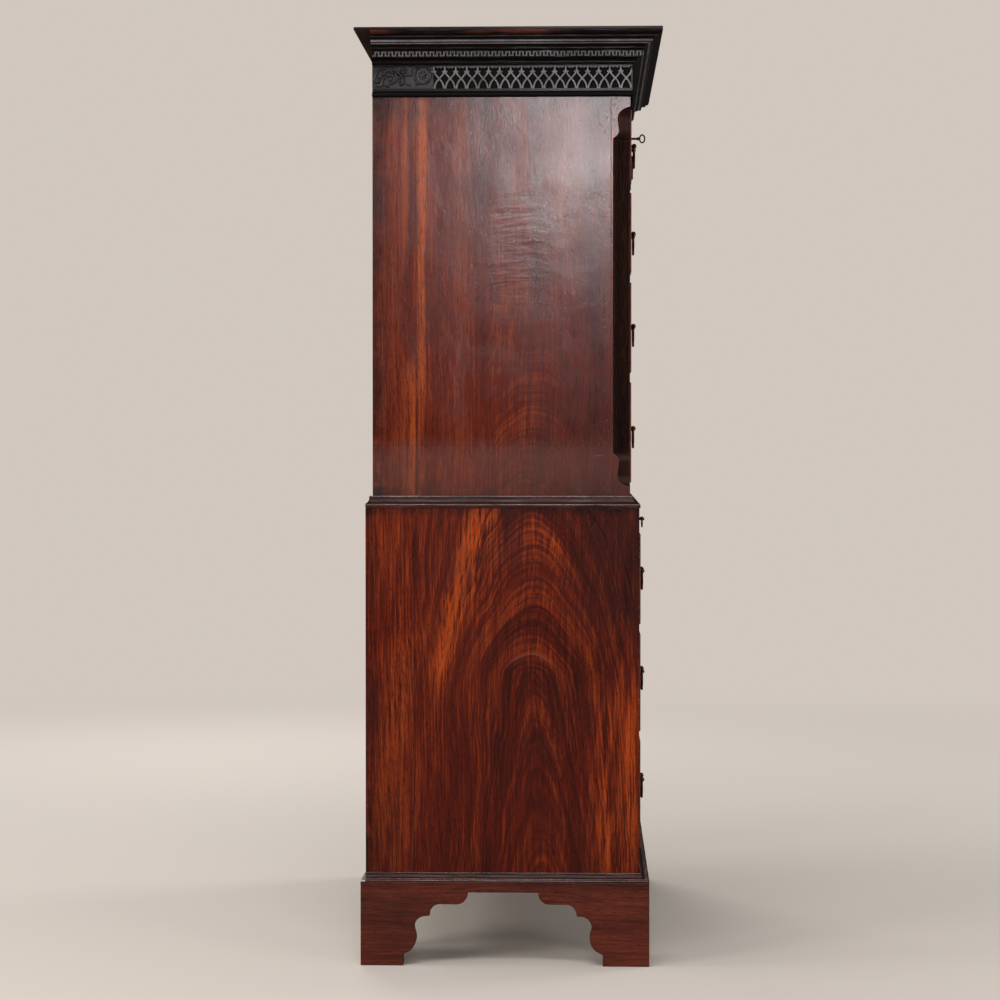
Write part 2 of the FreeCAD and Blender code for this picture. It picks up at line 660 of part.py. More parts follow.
def bail(name, x, y, z, spacing, drop, bend, radius):
    """A swan-neck bail: two ends that turn into the posts and a bar that hangs below."""
    body = new_body(name, x, y, z)
    start = -(spacing / 2) + radius
    arm = -(spacing / 2) - dim["bail_shoulder"] - dim["bail_corner"]
    left = [(start, size(0)), (arm + dim["bail_corner"], size(0), -0.2071), (arm, -dim["bail_corner"]),
            (arm, bend - drop, -0.2071), (arm + bend, -drop)]
    right = [(-left[4][0], left[4][1], -0.2071), (-left[3][0], left[3][1]), (-left[2][0], left[2][1], -0.2071),
             (-left[1][0], size(0)), (-start, size(0))]
    spine = new_sketch(body, "XZ", 0)
    draw(spine, left + right, closed=False)
    section = new_sketch(body, "YZ", start)
    section.addGeometry(Part.Circle(Vector(0, 0, 0), Vector(0, 0, 1), radius.number))
    section.addConstraint(Sketcher.Constraint("Coincident", 0, 3, -1, 1))
    place = section.addConstraint(Sketcher.Constraint("Radius", 0, radius.number))
    bind(section, f"Constraints[{place}]", radius)
    pipe = body.newObject("PartDesign::AdditivePipe", f"{body.Name}_pipe")
    pipe.Profile = section
    pipe.Spine = (spine, [f"Edge{index + 1}" for index in range(len(left + right) - 1)])
    body.Tip = pipe
    return body


def nut(name, x, y, z):
    return cut(name, rod(f"{name}_blank", x, y, z, dim["nut_radius"], dim["nut_height"]),
               [rod(f"{name}_hole", x, y, z, dim["shank_radius"] + dim["shank_play"], dim["nut_height"])])


def keyhole(name, x, z, start, depth):
    """The tools that cut a keyhole: a round hole with a slot below it."""
    return [rod(f"{name}_round", x, start, z, dim["key_radius"] + dim["key_play"], depth),
            block(f"{name}_slot", (x - dim["keyhole_slot"] / 2, x + dim["keyhole_slot"] / 2), (start, start + depth),
                  (z - dim["keyhole_length"], z))]


def escutcheon(name, x, z, face):
    """An upright oval plate with a pointed top and foot."""
    thickness = dim["escutcheon_thickness"]
    low_end = z - (dim["keyhole_length"] + dim["escutcheon_height"]) / 2
    plate = new_body(f"{name}_plate")
    pad(plate, "XZ", -face, thickness,
        scaled(ESCUTCHEON_CURVE, (x, dim["escutcheon_width"] / 2), dim["escutcheon_height"], low_end))
    return cut(name, plate, keyhole(name, x, z, face - thickness * 2, thickness * 3))


def lock(name, x, z, face):
    """A lock case let into the back of the drawer front, open inside for the bit of the key."""
    wall, depth = dim["lock_wall"], dim["lock_depth"]
    back = face + dim["front_thickness"]
    low, high = z - dim["lock_below"], z + dim["lock_above"]
    half = dim["lock_width"] / 2
    case = block(f"{name}_blank", (x - half, x + half), (back - depth, back), (low, high))
    room = block(f"{name}_room", (x - half + wall, x + half - wall), (back - depth + wall, back - wall),
                 (low + wall, high - wall))
    return cut(name, case, [room, *keyhole(f"{name}_key", x, z, back - depth - wall, wall * 2.5)])


def drawer(name, x, level, height, half, front, inside_back, bail_place):
    """A drawer with its cockbeaded front, lined box, lock and a handle on each side of its middle."""
    gap, low = dim["drawer_gap"], level + dim["drawer_clearance"]
    high = level + height - gap
    left, right = x - half + gap, x + half - gap
    face, back = front, front + dim["front_thickness"]
    bead = dim["cockbead_width"]
    key_level = level + height - dim["keyhole_drop"]
    bail_level = level + height / 2 + dim["bail_rise"]
    reach = dim["bail_spacing"] / 2
    posts = [x + bail_place * hand + reach * side for hand in (-1, 1) for side in (-1, 1)]

    board = block(f"{name}_board_blank", (left + bead, right - bead), (face, back), (low + bead, high - bead))
    tools = [rod(f"{name}_bolt_hole_{index + 1}", place, face, bail_level, dim["shank_radius"] + dim["shank_play"],
                 dim["front_thickness"]) for index, place in enumerate(posts)]
    tools += keyhole(f"{name}_keyhole", x, key_level, face, dim["front_thickness"])
    half_lock = dim["lock_width"] / 2
    tools.append(block(f"{name}_lock_recess", (x - half_lock, x + half_lock), (back - dim["lock_depth"], back),
                       (key_level - dim["lock_below"], key_level + dim["lock_above"])))
    board = cut(f"{name}_board", board, tools)
    outer = block(f"{name}_bead_blank", (left, right), (face - dim["cockbead_proud"], back), (low, high))
    inner = block(f"{name}_bead_inside", (left + bead, right - bead), (face - dim["cockbead_proud"], back),
                  (low + bead, high - bead))
    nodes[f"{name}_front"] = group(f"{name}_front", [board, cut(f"{name}_cockbead", outer, [inner])])

    lining, rear = dim["drawer_lining"], inside_back - dim["drawer_back_space"]
    top = high - dim["side_drop"]
    bottom = low + dim["bottom_raise"]
    nodes[f"{name}_box"] = group(f"{name}_box", [
        block(f"{name}_left_lining", (left, left + lining), (back, rear), (low, top)),
        block(f"{name}_right_lining", (right - lining, right), (back, rear), (low, top)),
        block(f"{name}_back_lining", (left + lining, right - lining), (rear - lining, rear), (bottom, top)),
        block(f"{name}_bottom", (left + lining, right - lining), (back, rear - lining),
              (bottom, bottom + dim["drawer_bottom"]))])

    bolt_length = dim["front_thickness"] + dim["nut_height"] + dim["bolt_end"]
    brasses = []
    for index, place in enumerate(posts):
        brasses.append(handle_post(f"{name}_post_{index + 1}", place, face, bail_level, dim["rose_radius"],
                                   dim["knob_radius"], bolt_length, dim["bail_radius"]))
        brasses.append(nut(f"{name}_nut_{index + 1}", place, back, bail_level))
    brasses += [escutcheon(f"{name}_escutcheon", x, key_level, face), lock(f"{name}_lock", x, key_level, face)]
    nodes[f"{name}_brasses"] = group(f"{name}_brasses", brasses)
    for hand, place in (("left", x - bail_place), ("right", x + bail_place)):
        nodes[f"{name}_{hand}_bail"] = bail(
            f"{name}_{hand}_bail", place, face - dim["eye_reach"], bail_level, dim["bail_spacing"],
            dim["bail_drop"], dim["bail_bend"], dim["bail_radius"])


def brushing_slide():
    """A sliding shelf over the lower drawers, with a mahogany edge and two small handles."""
    play = dim["drawer_clearance"]
    low, high = slide_low + play, slide_high - play
    half = opening_lower - dim["drawer_gap"]
    edge = lower_front + dim["slide_edge"]
    level = (low + high) / 2
    brasses = []
    bolt = dim["slide_bolt_length"]
    reach = dim["slide_bail_spacing"] / 2
    posts = [lower_bail_place * hand + reach * side for hand in (-1, 1) for side in (-1, 1)]
    holes = []
    for index, x in enumerate(posts):
        holes.append(rod(f"slide_bolt_hole_{index + 1}", x, lower_front, level,
                         dim["shank_radius"] + dim["shank_play"], bolt + 1))
        brasses.append(handle_post(f"slide_post_{index + 1}", x, lower_front, level, dim["slide_rose_radius"],
                                   dim["slide_knob_radius"], bolt, dim["slide_bail_radius"]))
    shelf = block("slide_shelf_blank", (-half, half), (edge, lower_front + dim["slide_depth"]), (low, high))
    lipping = block("slide_edge_blank", (-half, half), (lower_front, edge), (low, high))
    pieces = [cut("slide_shelf", shelf, holes), cut("slide_edge_board", lipping, holes)]
    nodes["brushing_slide"] = group("brushing_slide", pieces)
    nodes["brushing_slide_brasses"] = group("brushing_slide_brasses", brasses)
    for hand, place in (("left", -lower_bail_place), ("right", lower_bail_place)):
        nodes[f"brushing_slide_{hand}_bail"] = bail(
            f"brushing_slide_{hand}_bail", place, lower_front - dim["eye_reach"], level, dim["slide_bail_spacing"],
            dim["slide_bail_drop"], dim["slide_bail_bend"], dim["slide_bail_radius"])


def drawer_key(x, z):
    """A small key with an oval bow, its bit inside the lock of the drawer."""
    reach, bow = dim["key_reach"], dim["bow_length"]
    bit_end = dim["front_thickness"] - dim["lock_depth"] + dim["lock_wall"] * 2 + dim["bit_length"]
    body = new_body("drawer_key", x, upper_front, z)
    sketch = new_sketch(body, "XY", 0)
    shank = dim["key_radius"]
    collar, collar_width = shank * COLLAR_SHARE, shank * COLLAR_LENGTH
    draw(sketch, [
        (0, bit_end), (shank, bit_end), (shank, collar_width - reach), (collar, collar_width - reach, 0.2),
        (collar, -reach), (shank, -reach), (0, -reach - shank)])
    turned = body.newObject("PartDesign::Revolution", "drawer_key_turned")
    turned.Profile = sketch
    turned.ReferenceAxis = (sketch, ["V_Axis"])
    turned.Angle = 360
    body.Tip = turned
    half_width, bar = dim["bow_width"] / 2, dim["bow_bar"]
    middle = -reach - bow / 2
    outer, inner = bow.number / dim["bow_width"].number / 2, BOW_BEND
    pad(body, "YZ", 0, bar, [(middle, half_width, outer), (middle, -half_width, outer)], symmetric=True)
    pocket(body, "YZ", [(middle, half_width - bar, inner), (middle, bar - half_width, inner)])
    pad(body, "YZ", 0, dim["keyhole_slot"] * BIT_SHARE, [
        (bit_end - dim["bit_length"], 0), (bit_end, 0), (bit_end, -dim["bit_radius"]),
        (bit_end - dim["bit_length"], -dim["bit_radius"])], symmetric=True)
    nodes["drawer_key"] = body


# The two cases.
case_sides("upper", half_upper, post_back, upper_back, waist, cornice_high)
corner_posts()
nodes["upper_frame"] = group("upper_frame", case_frame(
    "upper", half_upper, opening_upper, upper_front, upper_back, upper_levels, waist, upper_floor, cornice_high,
    upper_top))
back_boards("upper", half_upper, upper_back, waist, cornice_high)
case_sides("lower", half_lower, lower_front, lower_back, plinth_top, waist)
nodes["lower_frame"] = group("lower_frame", case_frame(
    "lower", half_lower, opening_lower, lower_front, lower_back, lower_levels, plinth_top, lower_floor, waist,
    lower_top))
back_boards("lower", half_lower, lower_back, plinth_top, waist)
bracket_base()

# The mouldings.
nodes["frieze"] = group("frieze", moulding(
    "frieze_board", ((0, 0), (1, 0), (1, 1), (0, 1)), dim["frieze_thickness"], dim["frieze_height"], half_upper,
    upper_front, upper_back, frieze_low) + moulding(
    "necking", NECKING_PROFILE, dim["necking_projection"], dim["necking_height"], half_upper, upper_front,
    upper_back, necking_low))
nodes["cornice"] = group("cornice", moulding(
    "cornice_moulding", CORNICE_PROFILE, dim["cornice_projection"], dim["cornice_height"], half_upper, upper_front,
    upper_back, cornice_low))
nodes["waist_moulding"] = group("waist_moulding", moulding(
    "waist_run", WAIST_PROFILE, dim["waist_projection"], dim["waist_height"], half_upper, upper_front, upper_back,
    waist, dim["case_step_back"]))
nodes["base_moulding"] = group("base_moulding", moulding(
    "base_run", PLINTH_PROFILE, dim["plinth_step"], dim["plinth_moulding_height"], half_lower, lower_front,
    lower_back, plinth_top))
half_cornice = half_upper + dim["cornice_projection"]
nodes["cornice_top_board"] = block(
    "cornice_top_board", (-half_cornice, half_cornice),
    (upper_front - dim["cornice_projection"], upper_back + dim["top_overhang_back"]), (cornice_high, whole_height))

# The drawers.
upper_inside, lower_inside = upper_back - dim["back_thickness"], lower_back - dim["back_thickness"]
for hand, place in (("left", -short_place), ("right", short_place)):
    drawer(f"{hand}_short_drawer", place, upper_drawer_levels["short"], dim["short_drawer"], half_short,
           upper_front, upper_inside, short_bail_place)
for place in ("top", "middle", "bottom"):
    drawer(f"upper_{place}_drawer", size(0), upper_drawer_levels[place], dim[f"upper_{place}_drawer"],
           opening_upper, upper_front, upper_inside, long_bail_place)
for place in ("top", "middle", "bottom"):
    drawer(f"lower_{place}_drawer", size(0), lower_drawer_levels[place], dim[f"lower_{place}_drawer"],
           opening_lower, lower_front, lower_inside, lower_bail_place)
brushing_slide()
drawer_key(-short_place, upper_levels[-1] - dim["keyhole_drop"])

doc.recompute()
faults = [item.Label for item in doc.Objects if "Invalid" in item.State or "Error" in item.State]
faults += [name for name, item in nodes.items() if item.Shape.isNull() or not item.Shape.isValid()]
if faults:
    raise RuntimeError(f"These pieces failed: {', '.join(faults)}")
for name, item in nodes.items():
    item.Shape.exportStep(os.path.join("parts", f"{name}.step"))
    box = item.Shape.BoundBox
    print(f"{name}: {len(item.Shape.Solids)} solids, x {box.XMin:.1f} {box.XMax:.1f}, "
          f"y {box.YMin:.1f} {box.YMax:.1f}, z {box.ZMin:.1f} {box.ZMax:.1f}")
print(f"{len(nodes)} nodes")
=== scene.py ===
import math
import bmesh
import bpy
import numpy as np
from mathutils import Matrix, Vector


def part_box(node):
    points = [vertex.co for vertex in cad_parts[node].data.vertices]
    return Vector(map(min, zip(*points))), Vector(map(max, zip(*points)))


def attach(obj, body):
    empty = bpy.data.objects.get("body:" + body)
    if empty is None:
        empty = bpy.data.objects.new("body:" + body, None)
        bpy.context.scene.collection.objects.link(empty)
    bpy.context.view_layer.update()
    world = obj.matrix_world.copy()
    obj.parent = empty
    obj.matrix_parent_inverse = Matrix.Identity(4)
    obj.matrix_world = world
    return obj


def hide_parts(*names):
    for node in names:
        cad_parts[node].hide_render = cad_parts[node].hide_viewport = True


# A Georgian mahogany chest on chest. Metres; X runs across the front, -Y is the front, Z is up.

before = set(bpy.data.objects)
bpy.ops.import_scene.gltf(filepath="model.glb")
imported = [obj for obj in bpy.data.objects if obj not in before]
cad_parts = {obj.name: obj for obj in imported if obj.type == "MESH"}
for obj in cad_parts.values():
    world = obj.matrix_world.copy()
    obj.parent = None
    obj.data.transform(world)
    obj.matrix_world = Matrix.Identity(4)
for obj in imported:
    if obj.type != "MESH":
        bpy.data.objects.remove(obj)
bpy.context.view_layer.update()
print("frame loaded")


def tint(red, green, blue):
    # A colour given as it looks on a screen, 0 to 255, in the linear values that sockets take
    part = np.array([red, green, blue]) / 255
    linear = np.where(part <= 0.04045, part / 12.92, ((part + 0.055) / 1.055) ** 2.4)
    return (*[float(value) for value in linear], 1.0)


def operator(operation, swapped=False):
    return lambda *values: values[0].finish.maths(operation, *(values[::-1] if swapped else values))


class Wire:
    # A socket that takes part in sums: each operator adds one Math node

    def __init__(self, finish, socket):
        self.finish, self.socket = finish, socket

    __add__ = __radd__ = operator("ADD")
    __mul__ = __rmul__ = operator("MULTIPLY")
    __sub__, __rsub__ = operator("SUBTRACT"), operator("SUBTRACT", True)
    __truediv__, __rtruediv__ = operator("DIVIDE"), operator("DIVIDE", True)
    __pow__, __abs__ = operator("POWER"), operator("ABSOLUTE")


class Finish:
    # One material: node() adds any node, the rest are shorter names for nodes that are used often

    def __init__(self, name):
        self.material = bpy.data.materials.new(name)
        self.material.use_nodes = True
        self.tree = self.material.node_tree
        self.tree.nodes.clear()
        self.shader = self.tree.nodes.new("ShaderNodeBsdfPrincipled")
        end = self.tree.nodes.new("ShaderNodeOutputMaterial")
        self.tree.links.new(self.shader.outputs[0], end.inputs[0])

    def plug(self, socket, value):
        if isinstance(value, Wire):
            self.tree.links.new(value.socket, socket)
        else:
            socket.default_value = value

    def node(self, kind, settings=None, inputs=None, output=0):
        made = self.tree.nodes.new(kind)
        for key, value in (settings or {}).items():
            if key == "stops":
                while len(made.color_ramp.elements) < len(value):
                    made.color_ramp.elements.new(0.5)
                for element, (place, colour) in zip(made.color_ramp.elements, value):
                    element.position, element.color = place, colour
            else:
                setattr(made, key, value)
        for key, value in (inputs or {}).items():
            self.plug(made.inputs[key], value)
        return Wire(self, made.outputs[output])

    def maths(self, operation, *values):
        return self.node("ShaderNodeMath", {"operation": operation}, dict(enumerate(values)))

    def place(self):
        made = self.tree.nodes.new("ShaderNodeTexCoord")
        split = self.tree.nodes.new("ShaderNodeSeparateXYZ")
        self.tree.links.new(made.outputs["Object"], split.inputs[0])
        return [Wire(self, socket) for socket in split.outputs]

    def noise(self, coordinates, scale=1.0, detail=2.0, roughness=0.5):
        joined = self.node("ShaderNodeCombineXYZ", None, dict(enumerate(coordinates)))
        return self.node("ShaderNodeTexNoise", None,
                         {"Vector": joined, "Scale": scale, "Detail": detail, "Roughness": roughness})

    def exposed(self, reach):
        # 1 in the open and lower where other faces stand within the reach
        return self.node("ShaderNodeAmbientOcclusion", {"samples": 6}, {"Distance": reach}, output=1)

    def blend(self, factor, first, second):
        return self.node("ShaderNodeMix", {"data_type": "RGBA"}, {0: factor, 6: first, 7: second}, output=2)

    def ramp(self, value, stops):
        return self.node("ShaderNodeValToRGB", {"stops": stops}, {0: value})

    def bump(self, height, distance):
        return self.node("ShaderNodeBump", None, {"Height": height, "Distance": distance, "Strength": 1.0})

    def finish(self, **sockets):
        for key, value in sockets.items():
            self.plug(self.shader.inputs[key.replace("_", " ")], value)
        return self.material


def fade(value, start, end):
    # 0 below start, 1 above end and a smooth step between them; the other way if start is the larger
    if start > end:
        return 1 - fade(value, end, start)
    return value.finish.node("ShaderNodeMapRange", {"interpolation_type": "SMOOTHSTEP"},
                             {"Value": value, "From Min": start, "From Max": end})


def near(value, centre, reach):
    # 1 at the centre and 0 from the reach on, on both sides
    return fade(abs(value - centre), reach, reach * 0.1)


def outline(corners, width, height, steps):
    # Corners (across, up, bulge) in shares of a width and a height. An arc of bulge b, the height of the
    # arc as a share of its chord, spans an angle of 4 atan(2b) and lies to the left of the way it runs.
    points = []
    for corner, after in zip(corners, corners[1:] + corners[:1]):
        start, end = np.array([corner[:2], after[:2]]) * (width, height)
        if len(corner) < 3:
            points.append(start[None])
            continue
        chord, half = end - start, 2 * math.atan(2 * corner[2])
        turn = np.linspace(-half, half, steps, endpoint=False)[:, None]
        radius = 0.5 / math.sin(half)
        along, side = 0.5 + radius * np.sin(turn), radius * (np.cos(turn) - math.cos(half))
        points.append(start + chord * along + np.array([-chord[1], chord[0]]) * side)
    return np.concatenate(points)


def eased(points, radius):
    # Each corner becomes three points: one on each edge at the radius from it, or 0.4 of the edge if that
    # is nearer, and one a quarter of the way back from the corner between them
    ends = []
    for shift in (1, -1):
        edge = np.roll(points, shift, 0) - points
        length = np.linalg.norm(edge, axis=1, keepdims=True)
        ends.append(points + edge / length * np.minimum(radius, length * 0.4))
    return np.stack([ends[0], points / 2 + (ends[0] + ends[1]) / 4, ends[1]], 1).reshape(-1, 2)


def flowing(points, count):
    # A smooth line through points: between two of them, a cubic whose slopes are half the step between
    # their neighbours
    points = np.asarray(points, float)
    padded = np.concatenate([points[:1] * 2 - points[1:2], points, points[-1:] * 2 - points[-2:-1]])
    share = np.linspace(0, 1, count, endpoint=False)[None, :, None]
    p0, p1, p2, p3 = (padded[k:len(points) - 1 + k, None] for k in range(4))
    line = (p1 + (p2 - p0) / 2 * share + (p0 - p1 * 2.5 + p2 * 2 - p3 / 2) * share ** 2
            + (p1 * 1.5 - p2 * 1.5 + (p3 - p0) / 2) * share ** 3)
    return np.concatenate([line.reshape(-1, points.shape[1]), points[-1:]])


def skin(sections, caps=True):
    # Four-sided faces between neighbouring sections, an array (sections, points, 3), with flat ends
    rows, count = sections.shape[:2]
    row, column = np.indices((rows - 1, count))
    this, after = row * count, (column + 1) % count
    faces = np.stack([this + column, this + after, this + count + after, this + count + column], -1)
    faces = faces.reshape(-1, 4).tolist()
    if caps:
        faces += [list(range(count))[::-1], list(range((rows - 1) * count, rows * count))]
    return sections.reshape(-1, 3), faces


def circle(sides):
    return np.linspace(0, 2 * math.pi, sides, endpoint=False)


def normalised(vectors):
    return vectors / np.linalg.norm(vectors, axis=-1, keepdims=True)


def lathe(profile, centre, sides=28):
    # A profile of (radius, along) turned about a line along Y; ends at radius 0 close by themselves
    turn = circle(sides)
    radius, along = np.asarray(profile, float).T[..., None]
    points, faces = skin(np.stack([radius * np.cos(turn), along + turn * 0, radius * np.sin(turn)], -1))
    return points + np.asarray(centre), faces


def tube(path, radius, sides=12):
    # A round section along a path in a plane of constant Y: at each point its ring is spanned by Y and by the
    # level normal of the path
    ahead = normalised(np.gradient(path, axis=0))
    beside = np.stack([-ahead[:, 2], ahead[:, 1] * 0, ahead[:, 0]], -1)
    turn = circle(sides)[None, :, None]
    ring = np.cos(turn) * beside[:, None] + np.sin(turn) * np.array([0, 1, 0])
    return skin(path[:, None] + ring * radius[:, None, None])


def linked(name, data):
    made = bpy.data.objects.new(name, data)
    bpy.context.scene.collection.objects.link(made)
    return made


def finished(name, mesh, finishes, nodes, body, sharp, joined=True, flat=None, gone=(), choose=None):
    # Faces on gone points are deleted, doubles merged, faces flat within an angle joined, and all turned
    # outwards. choose gives each face its finish from the face middles and normals.
    work = bmesh.new()
    work.from_mesh(mesh)
    if gone:
        faces = [face for face in work.faces if any(corner.index in gone for corner in face.verts)]
        bmesh.ops.delete(work, geom=faces, context="FACES")
    if joined:
        bmesh.ops.remove_doubles(work, verts=work.verts, dist=1e-6)
    if flat:
        bmesh.ops.dissolve_limit(work, angle_limit=flat, verts=work.verts, edges=work.edges)
    bmesh.ops.recalc_face_normals(work, faces=work.faces)
    work.to_mesh(mesh)
    work.free()
    if choose:
        middle, normal = np.empty((2, len(mesh.polygons) * 3))
        mesh.polygons.foreach_get("center", middle)
        mesh.polygons.foreach_get("normal", normal)
        chosen = choose(middle.reshape(-1, 3), normal.reshape(-1, 3)).astype(int)
        mesh.polygons.foreach_set("material_index", chosen)
    for finish in finishes:
        mesh.materials.append(finish)
    mesh.shade_smooth()
    mesh.set_sharp_from_angle(angle=sharp)
    piece = linked(name, mesh)
    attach(piece, body)
    if nodes:
        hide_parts(*nodes)
    return piece


def makePiece(name, parts, finishes, nodes=(), body="case", sharp=0.55, joined=False):
    # One object from several closed shells (points, faces, finish number or one number for each face)
    points, faces, chosen, start = [], [], [], 0
    for part in parts:
        points.append(part[0])
        faces += [[index + start for index in face] for face in part[1]]
        number = part[2] if len(part) > 2 else 0
        chosen += [number] * len(part[1]) if isinstance(number, int) else list(number)
        start += len(part[0])
    mesh = bpy.data.meshes.new(name)
    mesh.from_pydata(np.concatenate(points).tolist(), [], faces)
    mesh.polygons.foreach_set("material_index", chosen)
    finished(name, mesh, finishes, nodes, body, sharp, joined)


def softened(node, finishes, choose=None, body="case", width=0.0008, keep=None, name=None,
             sharp=0.6):
    # A copy of a CAD node with eased edges; keep says which of its points stay
    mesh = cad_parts[node].data.copy()
    mesh.materials.clear()
    gone = ()
    if keep:
        places = np.empty(len(mesh.vertices) * 3)
        mesh.vertices.foreach_get("co", places)
        gone = set(np.flatnonzero(~keep(places.reshape(-1, 3))).tolist())
    piece = finished(name or f"{node}_made", mesh, finishes, (node,), body, sharp, True, 0.01, gone, choose)
    ease = piece.modifiers.new("ease", "BEVEL")
    ease.width, ease.segments, ease.limit_method, ease.angle_limit = width, 2, "ANGLE", 0.5
    ease.harden_normals = True


def inside(low, high):
    return lambda points: ((points > np.array(low)) & (points < np.array(high))).all(1)


def facing(middle, normal):
    # 1 on faces that look forwards or back, 0 on the others
    return np.abs(normal[:, 1]) > 0.7


# Woods: tones are the dark, middle and light of the grain, and stops say where on it each one lies

mahogany = {
    "tones": ((40, 10, 5), (88, 27, 12), (146, 64, 24)), "stops": (0.3, 0.5, 0.74),
    "streakLong": 0.9, "streakAcross": 15, "wander": 0.1, "pores": 0.75, "patches": 0.3, "fine": 0.5,
    "roughness": 0.29, "coat": 0.0, "coatRoughness": 0.12, "bumps": 0.0006, "specular": 0.42,
}
blackened = dict(mahogany, tones=((9, 4, 3), (20, 9, 7), (42, 18, 12)), patches=0.4, roughness=0.34,
                 coat=0.06, specular=0.16, bumps=0.0003, crevice=0.006)
# The next look is pale: its colour paints the highlights on the black crests, the key pattern and the fret
lighter = dict(blackened, tones=((60, 56, 56), (112, 108, 110), (152, 149, 152)), crevice=0.001)
shallow = dict(blackened, tones=((14, 11, 12), (33, 29, 31), (66, 61, 64)), specular=0.32, crevice=0.009)
# A pale look whose colour paints the highlights on the crests of the waist and base mouldings
edgeHighlightLook = dict(mahogany, tones=((40, 24, 20), (112, 90, 84), (176, 158, 152)), crevice=0.001)
plinthWood = dict(mahogany, tones=((40, 14, 9), (84, 33, 21), (120, 52, 32)), roughness=0.38, specular=0.3)
mouldingWood = dict(plinthWood, tones=((20, 8, 6), (48, 19, 12), (84, 36, 22)), crevice=0.005)
veneer = dict(mahogany, tones=((44, 14, 8), (98, 37, 18), (158, 76, 32)), wander=0.14, streakAcross=12)
oakWood = dict(mahogany, tones=((84, 56, 33), (122, 86, 52), (154, 116, 74)), stops=(0.25, 0.5, 0.75), streakLong=1.0,
               streakAcross=40, wander=0.04, pores=0.5, patches=0.35, fine=0.35, roughness=0.7, coatRoughness=0.3,
               bumps=0.0005, specular=0.3)
pineWood = dict(oakWood, tones=((70, 45, 26), (104, 72, 44), (134, 97, 60)), streakAcross=26, pores=0.2,
                patches=0.5)

texture = {  # noise scales: along and across the grain, or the same all round
    "drift": (1.1, 3.5), "fibre": (7, 240), "pore": (48, 900), "patch": 6, "peel": 190, "swell": 16,
}
# Colours blended into the wood: pores; a dark colour for dark figure, edges, joints, cracks and knots, which under
# the plinth moulding paints shade; a pale haze of wear; and a near black for crevices, partly dirt and partly painted
# shade
stainsAndShade = {"pore": (24, 8, 5), "shade": (16, 6, 5), "haze": (104, 72, 64), "crevice": (4, 2, 2)}


def wood(name, look, grain="z", shape=None):
    # Long noise along the grain gives streaks, finer noise the fibres, and short dashes the pores.
    # shape(finish, place, tone, fibre) may change the tone, which runs from dark over middle to light, and
    # adds a shade, a haze and a relief.
    f = Finish(name)
    x, y, z = place = f.place()
    along, across, deep = {"x": (x, z, y), "y": (y, z, x), "z": (z, y, x)}[grain]

    def stretched(scales, line, depth, *settings):
        return f.noise((along * scales[0], line * scales[1], depth * scales[1]), 1, *settings)

    drift = stretched(texture["drift"], across, deep, 2) - 0.5
    line, depth = across + drift * look["wander"], deep + drift * look["wander"]
    streak = stretched((look["streakLong"], look["streakAcross"]), line, depth, 5, 0.6)
    fibre = stretched(texture["fibre"], line, depth, 3, 0.7)
    pore = stretched(texture["pore"], line, depth, 2, 0.6)
    patch = f.noise(place, texture["patch"], 3, 0.6)
    tone = streak * (1 - look["fine"]) + fibre * look["fine"]
    shade, haze, relief = None, None, 0.0
    if shape:
        tone, shade, haze, relief = shape(f, place, tone, fibre)
    colour = f.ramp(tone, [(stop, tint(*part)) for stop, part in zip(look["stops"], look["tones"])])
    colour = f.blend(fade(pore, 0.54, 0.66) * look["pores"], colour, tint(*stainsAndShade["pore"]))
    colour = f.blend(fade(patch, 0.45, 0.7) * look["patches"], colour, tint(*look["tones"][0]))
    if shade is not None:
        colour = f.blend(shade, colour, tint(*stainsAndShade["shade"]))
    if haze is not None:
        colour = f.blend(haze, colour, tint(*stainsAndShade["haze"]))
    # Darker where other faces stand near: partly dirt, partly painted shade in crevices and hollows
    if "crevice" in look:
        colour = f.blend(fade(f.exposed(look["crevice"]), 0.8, 0.35), colour, tint(*stainsAndShade["crevice"]))
    peel = f.noise(place, texture["peel"], 3, 0.7)
    swell = f.noise(place, texture["swell"], 2, 0.5)
    rough = look["roughness"] + (patch - 0.5) * 0.15 + (peel - 0.5) * 0.1
    if haze is not None:
        rough = rough + haze * 0.6
    normal = f.bump(peel * 0.24 + fibre * 0.08 + swell * 1.2 + relief, look["bumps"])
    f.shader.inputs["Coat Roughness"].default_value = look["coatRoughness"]
    f.shader.inputs["Specular IOR Level"].default_value = look["specular"]
    return f.finish(Base_Color=colour, Roughness=rough, Normal=normal, Coat_Weight=look["coat"])


def metal(name, bright, dull, dirt, roughness, clean=1.0):
    # Metal with a brown skin: bright on open places, dull in patches and nearly black in recesses
    f = Finish(name)
    place = f.place()
    patch = f.noise(place, 90, 3, 0.65)
    grain = f.noise(place, 900, 2)
    hidden = fade(f.exposed(0.006), 0.8, 0.4)
    colour = f.blend(hidden, f.blend(fade(patch, 0.38, 0.66), tint(*bright), tint(*dull)), tint(*dirt))
    return f.finish(Base_Color=colour, Metallic=clean - hidden * 0.5, Roughness=roughness + patch * 0.3,
                    Normal=f.bump(grain * 0.4 + patch, 0.0002))


marks = {  # places on the two sides
    "curve": 12, "upperMiddle": -0.046, "lowerMiddle": -0.05, "upperJoint": 0.1836, "lowerJoint": 0.1865,
    "levelJoint": 1.0265, "crack": (-0.157, 0.9), "scratch": (-0.178, 1.0), "specks": -0.195,
    "spots": 26, "pits": 75,
}


def mixed(tone, arches, fibre, share, amount):
    return tone * (1 - amount) + (arches * share + fibre * (1 - share)) * amount


def pitted(f, place):
    return fade(f.noise(place, marks["pits"], 2), 0.66, 0.76)


